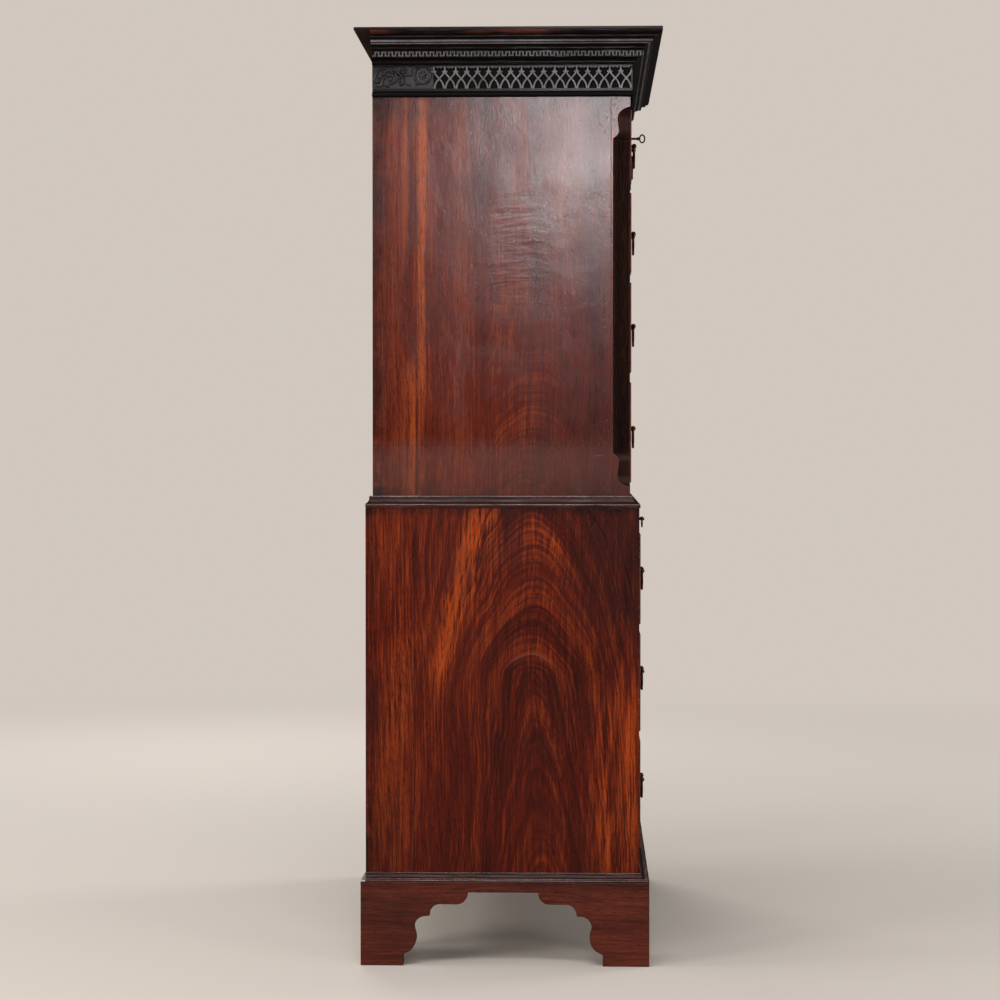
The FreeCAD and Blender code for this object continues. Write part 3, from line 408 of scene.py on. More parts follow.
def upperFigure(f, place, tone, fibre):
    # Straight, fine grain with pale orange stripes towards the back, faint nested arches low down,
    # p = height + 12 u^2 with u the distance from their middle line, and cross ripples above them
    x, y, z = place
    wobble = f.noise((z * 2.6, y * 7, 0), 1, 3) - 0.5
    side = y - marks["upperMiddle"] + wobble * 0.07
    p = z + wobble * 0.05 + side * side * marks["curve"]
    arches = 0.5 + (f.noise((p * 90, z * 2, y * 3), 1, 4, 0.8) - 0.5) * 0.9
    middle = fade(abs(side), 0.15, 0.05) * fade(z, 1.3, 1.15)
    tone = mixed(0.5 + (tone - 0.5) * 0.8, arches, fibre, 0.65, middle * 0.65)
    glow = (near(p, 1.17, 0.02) + near(p, 1.085, 0.03)) * fade(abs(side), 0.07, 0.03) * 0.03
    cloud = f.noise((x, y * 5, z * 1.2), 1, 3) - 0.5
    broken = f.noise((z * 1.5, y * 90, 4), 1, 3, 0.6)
    stripe = near(y - (z - 1.3) * 0.01, 0.17 + wobble * 0.03, 0.022) * fade(z, 1.02, 1.22)
    second = near(y, 0.206 + wobble * 0.02, 0.014) * fade(z, 1.3, 1.5) + near(y, 0.19, 0.03) * fade(z, 1.24, 1.14)
    tone = tone + (stripe * 0.24 + second * 0.18) * fade(broken, 0.3, 0.6) + glow + cloud * 0.22
    ripple = f.noise(((z + abs(side) * 0.12) * 95, y * 12, 0), 1, 2)
    rippled = fade(abs(y + 0.015), 0.08, 0.02) * fade(abs(z - 1.42), 0.2, 0.08)
    tone = tone + (ripple - 0.5) * 0.22 * rippled - fade(y, -0.02, -0.2) * 0.05
    spots = f.noise(place, marks["spots"], 4, 0.7)
    edge = fade(y, 0.215, 0.265) * 0.6 + fade(z, 0.98, 0.93) * 0.5 + fade(z, 1.64, 1.715) * 0.5
    line = near(y, marks["upperJoint"], 0.0016) * 0.7 + near(z, marks["levelJoint"] + wobble * 0.002, 0.0012) * 0.3
    edge = edge * fade(spots, 0.3, 0.6) + line
    lighter = fade(z, 1.05, 1.0) * 0.16 + fade(f.noise((x, y * 3, z), 9, 3), 0.55, 0.75) * 0.06
    scratch = near(z + y * 0.03, marks["scratch"][1], 0.0014) * near(y, marks["scratch"][0], 0.011)
    fine = f.noise((x, y * 220, z * 150), 1, 2)
    specks = fade(fine, 0.66, 0.74) * fade(abs(y - marks["specks"]), 0.03, 0.01) * 0.3
    return tone, edge, lighter + scratch * 0.9 + specks, (ripple - 0.5) * 0.6 * rippled - pitted(f, place) * 0.15


def lowerFigure(f, place, tone, fibre):
    # Nested arches: p = level + 12 u^2, where u is the distance from a leaning middle line and the level is
    # the height, squeezed to a quarter low down so that the legs stand upright. Orange bands, a dark mass
    # under a pale arc, dark legs and a darker front corner are each given their own place.
    x, y, z = place
    wobble = f.noise((z * 3, y * 8, 3), 1, 3) - 0.5
    side = y - marks["lowerMiddle"] + wobble * 0.06 - (z - 0.6) * 0.03
    level = z * 0.25 + 0.435 + f.maths("MAXIMUM", z - 0.58, 0.0) * 0.75 + wobble * 0.03
    p = level + side * side * marks["curve"]
    bands = f.noise((p * 17, z * 1.5, y * 2), 1, 2, 0.5)
    lines = f.noise((p * 85, z * 2.5, y * 3), 1, 4, 0.75)
    arches = 0.5 + (bands - 0.5) * 0.55 + (lines - 0.5) * 0.95
    tone = mixed(0.5 + (tone - 0.5) * 0.8, arches, fibre, 0.68, fade(abs(side), 0.26, 0.14) * 0.7)
    broken = f.noise((z * 1.8, (y + z * 0.17) * 75, 4), 1, 4, 0.65)
    cloud = f.noise((x, y * 7, z * 3.2), 1, 3) - 0.5
    heart = fade(abs(side), 0.085, 0.06) * fade(z, 0.6, 0.55)
    tone = tone + cloud * 0.28 * (1 - heart) + (broken - 0.5) * 0.12
    left = near(p + (broken - 0.5) * 0.12, 0.99, 0.15) * fade(side, 0.02, 0.08) * fade(z, 0.5, 0.66)
    crown = near(p, 0.86, 0.06) * fade(abs(side), 0.12, 0.05) * 0.3
    fan = near(y - (0.75 - z) * 0.1, 0.2, 0.05) * fade(z, 0.3, 0.5) * 0.3
    front = fade(y, -0.14, -0.19) * fade(z, 0.61, 0.5) * 0.3
    front = front + (near(y, -0.197, 0.018) + near(y, -0.24, 0.014)) * fade(z, 0.56, 0.44) * 0.35
    grain = fade(lines * 0.35 + broken * 0.25 + fibre * 0.4, 0.4, 0.58)
    tone = tone + (left * 0.32 + fan * 0.22 + front * 0.24 + crown * 0.24) * grain
    mass = fade(abs(side), 0.095, 0.04) * fade(z, 0.605, 0.585) * fade(z, 0.42, 0.55)
    legs = near(abs(side), 0.078, 0.018) * fade(z, 0.6, 0.55) * fade(z, 0.25, 0.4)
    low = f.maths("MAXIMUM", 0.72 - z, 0.0)
    swing = y + 0.235 - low * low * 1.8 + wobble * 0.02
    arc = (near(swing, 0.0, 0.02) + near(swing, 0.03, 0.014) * 0.5) * fade(z, 0.52, 0.6) * fade(z, 0.86, 0.8)
    corner = fade(y, -0.06, -0.2) * fade(z, 0.6, 0.76)
    ridge = near(p, 0.7, 0.07) * fade(abs(side), 0.12, 0.06) * 0.3
    shade = (mass * 0.5 + legs * 0.4 + arc * 0.4 + ridge) * fade(lines, 0.65, 0.4) + corner * 0.4
    spots = f.noise(place, marks["spots"], 4, 0.7)
    shade = shade + fade(cloud, 0.08, 0.2) * 0.3 + fade(z, 0.3, 0.17) * 0.2
    edges = fade(y, 0.25, 0.28) * 0.5 + fade(y, -0.247, -0.258) * 0.4 + fade(z, 0.88, 0.9) * 0.5
    back, top = marks["crack"]
    crack = near(y + (top - z) * 0.64, back + wobble * 0.006, 0.0015) * fade(z, 0.836, 0.846)
    line = near(y, marks["lowerJoint"], 0.0018) * (0.4 + fade(z, 0.3, 0.26) * 0.3 + fade(z, 0.8, 0.84) * 0.3)
    shade = shade + edges * fade(spots, 0.25, 0.6) + (line + crack * 0.9)
    pale = near(p, 0.6116, 0.0035) * fade(abs(side), 0.055, 0.03) * fade(z, 0.575, 0.59) * 0.3
    return tone, shade, pale, pitted(f, place) * -0.2


def plinthPaintedShade(f, place, tone, fibre):
    # Painted shade: darker just under the moulding
    return tone, fade(place[2], 0.143, 0.161) * 0.3, None, 0.0


def crownFigure(f, place, tone, fibre):
    # Red wood showing through in patches along the crown
    x, y, z = place
    through = fade(f.noise((x * 6, y * 6, z * 20), 1, 3, 0.7), 0.4, 0.6)
    return tone * 0.7 + fade(z, 1.822, 1.836) * through * 0.5, None, None, 0.0


def drawerFigure(f, place, tone, fibre):
    # Rings about a line along the drawers, bent by slow noise, so each front shows long pointed ovals
    x, y, z = place
    bend = f.noise((x * 1.7, z * 0.9, 5), 1, 2) - 0.5
    row = f.noise((x * 0.8, z * 5.5, 9), 1, 1) - 0.5
    rise = 0.04 + abs(x + bend * 0.4) * 0.22
    side = row * 0.35 + bend * 0.2
    ring = (side * side + rise * rise) ** 0.5
    arches = f.noise((ring * 80, x * 1.2, z * 4), 1, 5, 0.68)
    curl = f.noise((x * 34, z * 4, 2), 1, 2)
    return mixed(tone, arches, fibre, 0.75, 0.55) + (curl - 0.5) * 0.1, None, None, 0.0


def backFigure(case):
    # Four upright boards, each of its own tone, with a dark line in every joint
    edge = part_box(f"{case}_back_boards")[1][0]

    def shape(f, place, tone, fibre):
        x, y, z = place
        along = (x + edge) / (edge / 2)
        board = f.maths("FLOOR", along)
        own = f.noise((board * 3.7, 2.3, 0), 1, 0)
        joint = fade(abs(along - f.maths("ROUND", along)), 0.007, 0.003)
        soiled = f.noise((x * 2, y, z * 3), 2, 3)
        knot = fade(f.noise((x * 3, y, z), 5, 1), 0.72, 0.8)
        return tone + (own - 0.5) * 0.5 + (soiled - 0.5) * 0.3, joint * 0.85 + knot * 0.4, None, 0.0

    return shape


cantLook = dict(mahogany, tones=((10, 4, 3), (24, 10, 7), (44, 20, 12)), coat=0.0, roughness=0.6,
                specular=0.04, crevice=0.006)
groundLook = dict(blackened, tones=((6, 4, 4), (12, 9, 9), (20, 15, 14)), coat=0.0, roughness=0.65,
                  specular=0.08)
# Dark, matte pine for the top board, seen mostly on its underside: partly aged wood, partly painted shade under the
# overhang
topLook = dict(pineWood, tones=((34, 20, 14), (58, 38, 27), (80, 56, 40)), roughness=0.85, specular=0.1)


def grained(name, look, axes, shape=None):
    return {axis: wood(f"{name} along {axis}", look, axis, shape) for axis in axes}


fretTones, tongueTones = ((10, 4, 3), (36, 17, 10), (62, 36, 20)), ((10, 4, 3), (42, 15, 9), (72, 28, 16))
plain = grained("mahogany", mahogany, "xz")
black = grained("blackened mahogany", blackened, "xy")
plinth = grained("plinth mahogany", plinthWood, "xy", plinthPaintedShade)
crown = grained("blackened mahogany of the crown", dict(blackened, tones=((9, 4, 3), (20, 9, 7), (78, 30, 18))),
                "xy", crownFigure)
moulding = grained("dark moulding mahogany", mouldingWood, "xy")
oak = grained("oak", oakWood, "xy")
pine = grained("pine", pineWood, "xz")
upperSide = wood("upper side mahogany", dict(mahogany, tones=((40, 9, 4), (88, 26, 10), (148, 66, 22)),
                                             roughness=0.22), "z", upperFigure)
lowerSide = wood("lower side mahogany", dict(mahogany, tones=((36, 8, 5), (82, 21, 8), (158, 62, 12)),
                                             specular=0.3, fine=0.62), "z", lowerFigure)
cantWood = wood("dark mahogany of the cants", cantLook, "z")
cantRelief = wood("mahogany of the cant fret", dict(cantLook, tones=fretTones), "z")
tongueWood = wood("mahogany of the lamb's tongues", dict(cantLook, tones=tongueTones, roughness=0.5, specular=0.1),
                  "z")
crestHighlight, carved, edgeHighlight, friezeGround, darkTopPine = (wood(name, look, "x") for name, look in (
    ("pale black crests with painted highlights", lighter), ("carved panels", shallow), ("pale mahogany crests with painted highlights", edgeHighlightLook),
    ("ground of the frieze", groundLook), ("dark pine of the top board", topLook)))
drawerFront = wood("drawer front veneer", veneer, "x", drawerFigure)
pineBack = {case: wood(f"pine of the {case} back", pineWood, "z", backFigure(case)) for case in ("upper", "lower")}
brass = metal("aged brass", (98, 73, 40), (48, 34, 20), (12, 8, 5), 0.28)
steel = metal("old steel", (50, 41, 32), (28, 21, 16), (10, 8, 6), 0.45, clean=0.35)
print("finishes made")


def planes(case):
    # Half width, front and back, read from the frame
    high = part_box(f"{case}_right_side")[1]
    return high[0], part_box(f"{case}_frame")[0][1], high[1]


upper, lower = planes("upper"), planes("lower")
halfUpper, upperFront, upperBack = upper
sideRun = upperBack - upperFront
corniceLevel, corniceTop = (corner[2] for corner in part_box("cornice"))
beadHeight = 0.0095
friezeLow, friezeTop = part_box("frieze")[0][2] + beadHeight, corniceLevel
spacing = 0.012  # between the sections of a moulding


def lengths(section, case, low, wear, returned=0.0, crests=()):
    # Three mitred lengths. The section's points (outward, up) keep their distance from the case on each, so
    # neighbours meet on 45 degree planes. wear pulls the outline in by waves. crests are ranges of height,
    # in shares, whose outer faces take the third finish, a pale one whose colour paints their highlights.
    (half, front, back), out, up = case, section[:, 0], section[:, 1] + low
    level, span = (up + np.roll(up, -1)) / 2 - low, np.ptp(up)
    crest = np.any([(level > bottom * span) & (level < top * span) for bottom, top in crests], axis=0)
    crest = crest & (out + np.roll(out, -1) > span * 0.1)
    side, rear = half + out, back + np.minimum(out, returned)
    corners = [np.stack([x, y, up], -1) for x, y in
               ((-side, rear), (-side, front - out), (side, front - out), (side, rear))]
    parts, phase = [], np.arange(len(section)) * 0.7
    for number, (start, end) in enumerate(zip(corners, corners[1:])):
        count = max(2, int(np.abs(end - start).max() / spacing))
        sections = start + (end - start) * np.linspace(0, 1, count)[:, None, None]
        place = np.arange(count)[:, None] * spacing + number * 3.1
        waves = sum(np.sin(place * often + phase * step) for often, step in ((41, 1), (97, 2.3), (223, 1))) / 3
        sections[..., number % 2] += waves * wear * np.minimum(out / 0.004, 1) * (-1 if number == 2 else 1)
        parts.append((*skin(sections), np.where(np.tile(crest, count - 1), 2, number % 2).tolist() + [0, 0]))
    return parts


cornice = {
    "profile": (
        (0, 0), (0.1, 0, -0.2), (0.14, 0.036), (0.16, 0.06, 0.2), (0.25, 0.19), (0.37, 0.195),
        (0.37, 0.435), (0.43, 0.47, 0.22), (0.52, 0.6), (0.56, 0.61), (0.56, 0.64), (0.65, 0.64, -0.45),
        (0.65, 0.745), (0.7, 0.755, 0.1), (0.86, 0.8), (0.86, 0.82), (0.8, 0.825), (0.8, 0.865),
        (0.92, 0.87, -0.13), (1, 1), (0, 1),
    ),
    "projection": 0.062, "ease": 0.0009, "wear": 0.00025, "crests": ((0.665, 0.735), (0.815, 0.83), (0.61, 0.64)),
    "bandOut": 0.37, "bandLow": 0.195,
    "period": 0.01352, "line": 0.0030, "raised": 0.0022, "keyLow": 0.0022, "keyHigh": 0.0126,
}
height = corniceTop - corniceLevel
section = eased(outline(cornice["profile"], cornice["projection"], height, 8), cornice["ease"])
makePiece("cornice_moulding", lengths(section, upper, corniceLevel, cornice["wear"], crests=cornice["crests"]),
          (crown["y"], crown["x"], crestHighlight), ("cornice",), sharp=0.7)


def blocks(boxes, shrink=0.25):
    # Raised blocks (u low, u high, v low, v high, height low, height high); the raised face is drawn in on
    # all sides by a share of the height, which gives it a worn edge
    u0, u1, v0, v1, h0, h1 = np.asarray(boxes, float).T
    inset = (h1 - h0) * shrink
    points = np.stack([np.stack(point, -1) for d, h in ((0, h0), (inset, h1)) for point in
                       ((u0 + d, v0 + d, h), (u1 - d, v0 + d, h), (u1 - d, v1 - d, h), (u0 + d, v1 - d, h))], 1)
    pattern = np.array([(0, 3, 2, 1), (4, 5, 6, 7), (0, 1, 5, 4), (1, 2, 6, 5), (2, 3, 7, 6), (3, 0, 4, 7)])
    faces = (np.arange(len(boxes))[:, None, None] * 8 + pattern).reshape(-1, 4)
    return points.reshape(-1, 3), faces.tolist()


def onLength(part, name):
    # Puts a relief of (along, up, out) on one length of the upper case; along is measured from the front
    # corner on the sides and from the middle on the front
    along, up, out = part[0].T
    if name == "front":
        return np.stack([along, upperFront - out, up], -1), part[1], 1
    sign = -1 if name == "left" else 1
    return np.stack([sign * (halfUpper + out), upperFront + along, up], -1), part[1], 0


# The key pattern: a bar above and a bar below in turn, joined by uprights
bandFoot = corniceLevel + height * cornice["bandLow"]
bandOut = cornice["projection"] * cornice["bandOut"]


def keyPattern(start, end):
    line, period = cornice["line"], cornice["period"]
    count = int((end - start) / period)
    low, high = bandFoot + cornice["keyLow"], bandFoot + cornice["keyHigh"]
    rows = []
    for u in start + (end - start - count * period) / 2 + np.arange(count) * period:
        half = u + period / 2
        rows += [(u, u + line, low, high), (half, half + line, low, high),
                 (u + line, half, high - line, high), (half + line, u + period, low, low + line)]
    return blocks([(*row, bandOut - 0.001, bandOut + cornice["raised"]) for row in rows])


parts = [onLength(keyPattern(-bandOut, sideRun), side) for side in ("left", "right")]
parts.append(onLength(keyPattern(-halfUpper - bandOut, halfUpper + bandOut), "front"))
# The key pattern's pale finish paints its highlights
makePiece("cornice_key_pattern", [part[:2] for part in parts], (crestHighlight,))
print("cornice made")


# Frieze: a ground with raised fret, two fillets and a carved panel with a roundel at the back end

frieze = {
    "ground": 0.0005, "proud": 0.004, "topFillet": 0.0030, "bottomFillet": (0.0455, 0.0515),
    "period": 0.02165, "crossing": 0.0268, "strip": 0.00165, "panel": 61, "first": 0.0085, "panelStep": 0.0003,
    "apart": 0.00006,  # keeps strips that cross from lying in one plane
    "carvingGrid": 0.0007,
}
drawnUnit = 0.001974  # the fret and the panel are drawn in units of this many metres


def strip(line, halfWidth, low, high):
    # A raised strip along a flat line (along, up), full width at its foot and narrower on top
    ahead = normalised(np.gradient(line, axis=0))
    beside = np.stack([-ahead[:, 1], ahead[:, 0]], -1) * np.reshape(halfWidth, (-1, 1))
    side = ((-1, low), (-0.95, high - 0.0006), (-0.6, high), (0.6, high), (0.95, high - 0.0006), (1, low))
    return skin(np.stack([np.c_[line + beside * share, np.full(len(line), level)] for share, level in side], 1))


def repeated(part, steps):
    # Copies of one part, shifted along by each step
    points, faces = part
    copies = points[None] + np.stack([steps, steps * 0, steps * 0], -1)[:, None]
    return copies.reshape(-1, 3), [[index + number * len(points) for index in face]
                                   for number in range(len(steps)) for face in faces]


def fretUnit():
    # Pointed arches that cross half way up and close into a stem with two cusps; (0, 0) is the crossing
    parts = []

    def raised(line, swell, drop):
        line = line * drawnUnit + (0, friezeTop - frieze["crossing"])
        parts.append(strip(line, frieze["strip"] * swell, frieze["ground"], frieze["proud"] - drop))

    for side in (-1, 1):
        mirror, apart = (side, 1), side * frieze["apart"]
        rising = flowing([(0, 0), (1.9, 2.3), (3.7, 4.4), (4.7, 6.2), (5.1, 8.4)], 4)
        falling = flowing([(0, 0), (-1.9, -1.9), (-3.3, -4.4), (-4.3, -7), (-4.8, -9.8)], 4)
        line = np.concatenate([rising[::-1], falling[1:]]) * mirror
        raised(line, 0.92 + 0.23 * np.linspace(-1, 1, len(line)) ** 2, apart)
        raised(flowing([(0.2, 12.9), (1.3, 11.2), (2.9, 11.9), (4.2, 12.9)], 3) * mirror, 0.62, 0.0004 + apart)
    raised(np.array([(5.47, 6.4), (5.47, 9), (5.47, 13.4)]), np.array([0.7, 0.85, 1.25]), 0.0002)
    cusp = flowing([(2.8, 7.5), (3.7, 7.0), (5.47, 7.5), (7.24, 7.0), (8.14, 7.5)], 3)
    raised(cusp, 0.85 - 0.4 * np.abs(np.linspace(-1, 1, len(cusp))) ** 3, 0.00028)
    return parts


def carving(length, height, strokes, pits, deep):
    # A carved panel on a fine grid. Each stroke raises a round-backed ridge of
    # sqrt(1 - (distance / width)^2) about its line, each pit sinks one, and the rest is the ground.
    along, up = np.meshgrid(*(np.arange(0, size + 1e-6, frieze["carvingGrid"]) for size in (length, height)),
                            indexing="ij")
    level = np.zeros_like(along)
    for line, width, rise in strokes:
        line = flowing(line, 6) if len(line) > 2 else line
        nearest = np.full_like(along, np.inf)
        for start, step in zip(line[:-1], np.diff(line, axis=0)):
            share = np.clip(((along - start[0]) * step[0] + (up - start[1]) * step[1]) / (step @ step), 0, 1)
            away = np.hypot(along - start[0] - step[0] * share, up - start[1] - step[1] * share)
            nearest = np.minimum(nearest, away)
        level = np.maximum(level, np.sqrt(np.clip(1 - (nearest / width) ** 2, 0, 1)) * rise)
    for (across, over), width, sink in pits:
        level -= np.clip(1 - np.hypot(along - across, up - over) / width, 0, 1) * sink
    edge = np.minimum.reduce([along, length - along, up, height - up])
    return along, up, np.where(edge < 0.0004, 0, np.clip(level, 0, None)) + deep


def reliefPart(along, up, level, floorLevel):
    # A height field closed underneath: its rows are joined to a flat row at the floor level
    rows, bottom = (np.stack([along, up, height + along * 0], -1) for height in (level, floorLevel))
    return skin(np.concatenate([bottom[:, :1], rows, bottom[:, -1:]], 1))


panelStrokes = [
    # scroll over the leaf, from the back end forwards (across from the back end of the panel, up)
    ([(3.5, 13), (6, 17.5), (11, 20), (17, 20), (23, 18), (27.5, 14.5), (31, 11)], 1.5, 1.0),
    ([(3.5, 13), (2.4, 9), (4.5, 6.5), (7, 7.6), (6.6, 10.4)], 1.3, 0.9),
    ([(11, 14), (14, 17.2), (18, 17.8), (20.5, 15.5)], 1.6, 1.0),
    ([(9.5, 3.5), (10, 8), (12.5, 11.6)], 1.6, 0.9),
    ([(16, 12.6), (19.6, 13.2), (22, 10.8), (20.8, 8), (18, 8.4)], 1.4, 0.95),
    ([(18.5, 5), (22, 6.6), (25, 10), (24.4, 13)], 1.5, 0.9),
    ([(22.5, 10.5), (26, 11), (30.5, 11.6)], 1.1, 0.8),
    ([(29, 17.5), (31.5, 19.6), (33.6, 18), (32.4, 15.6), (30, 16)], 1.2, 0.95),
    ([(32.5, 13.2), (36, 13.4), (39.5, 13.3)], 1.3, 0.8),
    ([(28.5, 7.6), (30.8, 9), (30.4, 5.6), (28.6, 4.2)], 1.5, 0.95),
    ([(34.5, 5), (37.6, 3.6)], 1.2, 0.7),
    ([(4, 3), (7.5, 2.4)], 1.2, 0.7), ([(13.5, 3.4), (16, 2.2)], 1.2, 0.7),
    ([(42.5, 19.4), (40.6, 16.4), (43, 15.4)], 1.4, 0.8), ([(44, 3.4), (45.6, 6)], 1.2, 0.8),
]
panelPits = [((5.5, 9), 1.3, 0.5), ((20, 10.6), 1.2, 0.5), ((31.4, 17.4), 1.2, 0.5)]
roundel = {"centre": (50.3, 13.2), "ring": 8.3, "width": 1.16, "leaf": 3.4}


def panelPart():
    deep = frieze["ground"] + frieze["panelStep"]
    rise = frieze["proud"] - deep
    strokes = [(np.array(line), width, height) for line, width, height in panelStrokes]
    centre = np.array(roundel["centre"])
    turn = np.linspace(0, 2 * math.pi, 33)
    ring = centre + np.stack([np.cos(turn), np.sin(turn)], -1) * roundel["ring"]
    strokes.append((ring, roundel["width"], 1))
    for angle in np.arange(6) * math.pi / 3 + 0.3:
        tip = centre + np.array([math.cos(angle), math.sin(angle)]) * roundel["leaf"]
        strokes.append((np.array([centre, (centre + tip) / 2, tip]), 1.15, 0.7))
    strokes, pits = ([(np.array(line) * drawnUnit, width * drawnUnit, height * rise) for line, width, height in rows]
                     for rows in (strokes, panelPits + [(centre, 1.0, 0.6)]))
    return carving(frieze["panel"] * drawnUnit, frieze["bottomFillet"][0] - frieze["topFillet"], strokes, pits, deep)


fillets = ((friezeTop - frieze["topFillet"], friezeTop),
           (friezeTop - frieze["bottomFillet"][1], friezeTop - frieze["bottomFillet"][0]))
fretParts = fretUnit()


def friezeLength(name):
    # On the side the panel stands at the back end, on the front a pair of them in the middle
    proud, deep, period, panel = frieze["proud"], frieze["ground"], frieze["period"], frieze["panel"] * drawnUnit
    front = name == "front"
    start, end = (-halfUpper, halfUpper) if front else (0, sideRun)
    parts = [(*blocks([(start - deep, end + deep * front, friezeLow, friezeTop, 0.0, deep)], 0), 2)]
    parts += [(*blocks([(start - proud, end + proud * front, bottom, top, 0.0, proud)], 0.12), None)
              for bottom, top in fillets]
    if front:
        steps = np.arange(panel + period * 0.45, halfUpper - period * 0.3, period)
        steps = np.concatenate([-steps[::-1], steps])
    else:
        steps = np.arange(frieze["first"], sideRun - panel - period * 0.25, period)
    # The fret strips take the fifth finish, whose pale colour paints their highlights
    parts += [(*repeated(part, steps), 4) for part in fretParts]
    along, up, level = panelPart()
    up = up + friezeTop - frieze["bottomFillet"][0]
    parts += [(*reliefPart(place, up, level, deep - 0.0004), 3)
              for place in ((along, -along) if front else (sideRun - along,))]
    made = []
    for *part, finish in parts:
        placed, faces, number = onLength(part, name)
        made.append((placed, faces, number if finish is None else finish))
    return made


section = eased(outline(((0, 0), (0.5, 0), (0.6, 0.05, -0.42), (0.6, 0.95), (0.5, 1), (0, 1)), 0.008, beadHeight, 8),
                0.0004)
necking = lengths(section, upper, friezeLow - beadHeight, 0.0001)
makePiece("frieze_fret", friezeLength("left") + friezeLength("front") + friezeLength("right")
          + [(*part[:2], 2) for part in necking], (black["y"], black["x"], friezeGround, carved, crestHighlight), ("frieze",))
print("frieze made")


mouldingReach, mouldingWear = 0.020, 0.0004
mouldings = {
    "waist_moulding": {
        "case": upper, "height": 0.024, "ease": 0.0008, "returned": 0.013, "crests": ((0.27, 0.32), (0.92, 0.99)),
        "profile": ((0, 0), (1, 0), (1, 0.3), (0.86, 0.36, 0.22), (0.32, 0.78), (0.32, 0.84, -0.2), (0.2, 1), (0, 1)),
    },
    "base_moulding": {
        "case": lower, "height": 0.016, "ease": 0.0006, "returned": 0.0,
        "crests": ((0.13, 0.18), (0.29, 0.33), (0.92, 0.99)),
        "profile": ((0, 0), (0.93, 0, -0.2), (1, 0.12, -0.2), (0.64, 0.3), (0.6, 0.34, 0.22), (0.16, 0.8), (0.13, 1),
                    (0, 1)),
    },
}
for name, look in mouldings.items():
    section = eased(outline(look["profile"], mouldingReach, look["height"], 8), look["ease"])
    parts = lengths(section, look["case"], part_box(name)[0][2], mouldingWear, look["returned"], look["crests"])
    makePiece(f"{name}_made", parts, (moulding["y"], moulding["x"], edgeHighlight), (name,), sharp=0.7)
print("mouldings made")


for side in ("left", "right"):
    softened(f"upper_{side}_side", (upperSide,))
    softened(f"lower_{side}_side", (lowerSide,))


def postFinish(middle, normal):
    # The flat cants are dark, the lamb's tongues that end them red
    x, y, z = np.abs(normal).T
    return np.where((x > 0.2) & (x < 0.97) & (z < 0.01), 1, np.where((z > 0.01) & (z < 0.99), 2, 0))


def footFinish(middle, normal):
    # Pine inside the bracket base, on the outside the grain runs along each face
    return np.where((np.abs(middle[:, 0]) < 0.53) & (middle[:, 1] > -0.25), 2, facing(middle, normal))


softened("upper_corner_posts", (upperSide, cantWood, tongueWood), postFinish, width=0.0006, sharp=0.2)
for case, finish in pineBack.items():
    softened(f"{case}_back_boards", (finish,))
softened("cornice_top_board", (black["y"], darkTopPine), lambda middle, normal: np.abs(normal[:, 2]) > 0.5, width=0.0015)
softened("bracket_base", (plinth["y"], plinth["x"], pine["z"]), footFinish, width=0.0015)
for name, case in (("upper", upper), ("lower", lower)):
    softened(f"{name}_frame", (pine["x"], plain["x"]),
             lambda middle, normal, front=case[1]: middle[:, 1] < front + 0.001)
print("case boards made")


drawers = {"left_short_drawer": (-0.2415, 0.118), "right_short_drawer": (0.2415, 0.118)}  # middle, bails from it
for case, place in (("upper", 0.290), ("lower", 0.315)):
    drawers.update({f"{case}_{row}_drawer": (0, place) for row in ("top", "middle", "bottom")})
bead = {"width": 0.004, "proud": 0.003}
farOff = 9
handle = {
    "spacing": 0.072, "pivot": 0.0095, "bailTop": 0.0024,
    "half": ((0.0335, 0.0), (0.0385, 0.0), (0.0432, -0.0012), (0.0461, -0.0048), (0.0463, -0.0105),
             (0.0447, -0.0175), (0.0425, -0.0245), (0.0375, -0.0312), (0.0290, -0.0358),
             (0.0190, -0.0379), (0.0090, -0.0381), (0.0, -0.0380)),
    "thin": 0.0017, "thick": 0.0026,
    "post": ((0.0024, 0.0), (0.0108, 0.0), (0.0110, -0.0006), (0.0106, -0.0013), (0.0092, -0.0014),
             (0.0088, -0.0021), (0.0074, -0.0027), (0.0052, -0.0031), (0.0038, -0.0038), (0.0032, -0.0048),
             (0.0035, -0.0057), (0.0046, -0.0067), (0.0052, -0.0082), (0.0053, -0.0097), (0.0050, -0.0112),
             (0.0042, -0.0125), (0.0031, -0.0133), (0.0027, -0.0137), (0.0018, -0.0142), (0.0, -0.0145)),
    "nut": ((0, 0), (0.0065, 0), (0.0065, 0.0034), (0.0055, 0.004), (0.0, 0.004)), "beyondNut": 0.006,
}


def swanNeck(centre, look):
    # The half path is mirrored about the middle; the bar is thickest in its middle and in its outer bends
    side = flowing(look["half"], 5)
    x, z = np.concatenate([side[:-1], (side * (-1, 1))[::-1]]).T
    across = np.abs(x) / np.abs(x).max()
    swell = np.exp(-(across / 0.5) ** 2) + 0.35 * np.exp(-((across - 0.93) / 0.08) ** 2)
    return tube(np.stack([x, x * 0, z], -1) + centre, look["thin"] + (look["thick"] - look["thin"]) * swell)


def post(centre, depth, scale=1.0):
    # A stepped rose, neck and head on a bolt that runs back to the depth; scale changes the widths only
    profile = np.array(((0, depth), (0.0024, depth - 0.0005)) + handle["post"])
    profile[2:, 0] *= scale
    return lathe(profile, centre)


def postPlaces(x, place, spacing):
    return [x + hand * place + side * spacing / 2 for hand in (-1, 1) for side in (-1, 1)]


def makeBails(name, x, place, face, level, look):
    for hand, sign in (("left", -1), ("right", 1)):
        centre = (x + sign * place, face - handle["pivot"], level)
        bail = f"{name}_{hand}_bail"
        makePiece(f"{name}_{hand}_swan_neck", [swanNeck(centre, look)], (brass,), (bail,), bail)


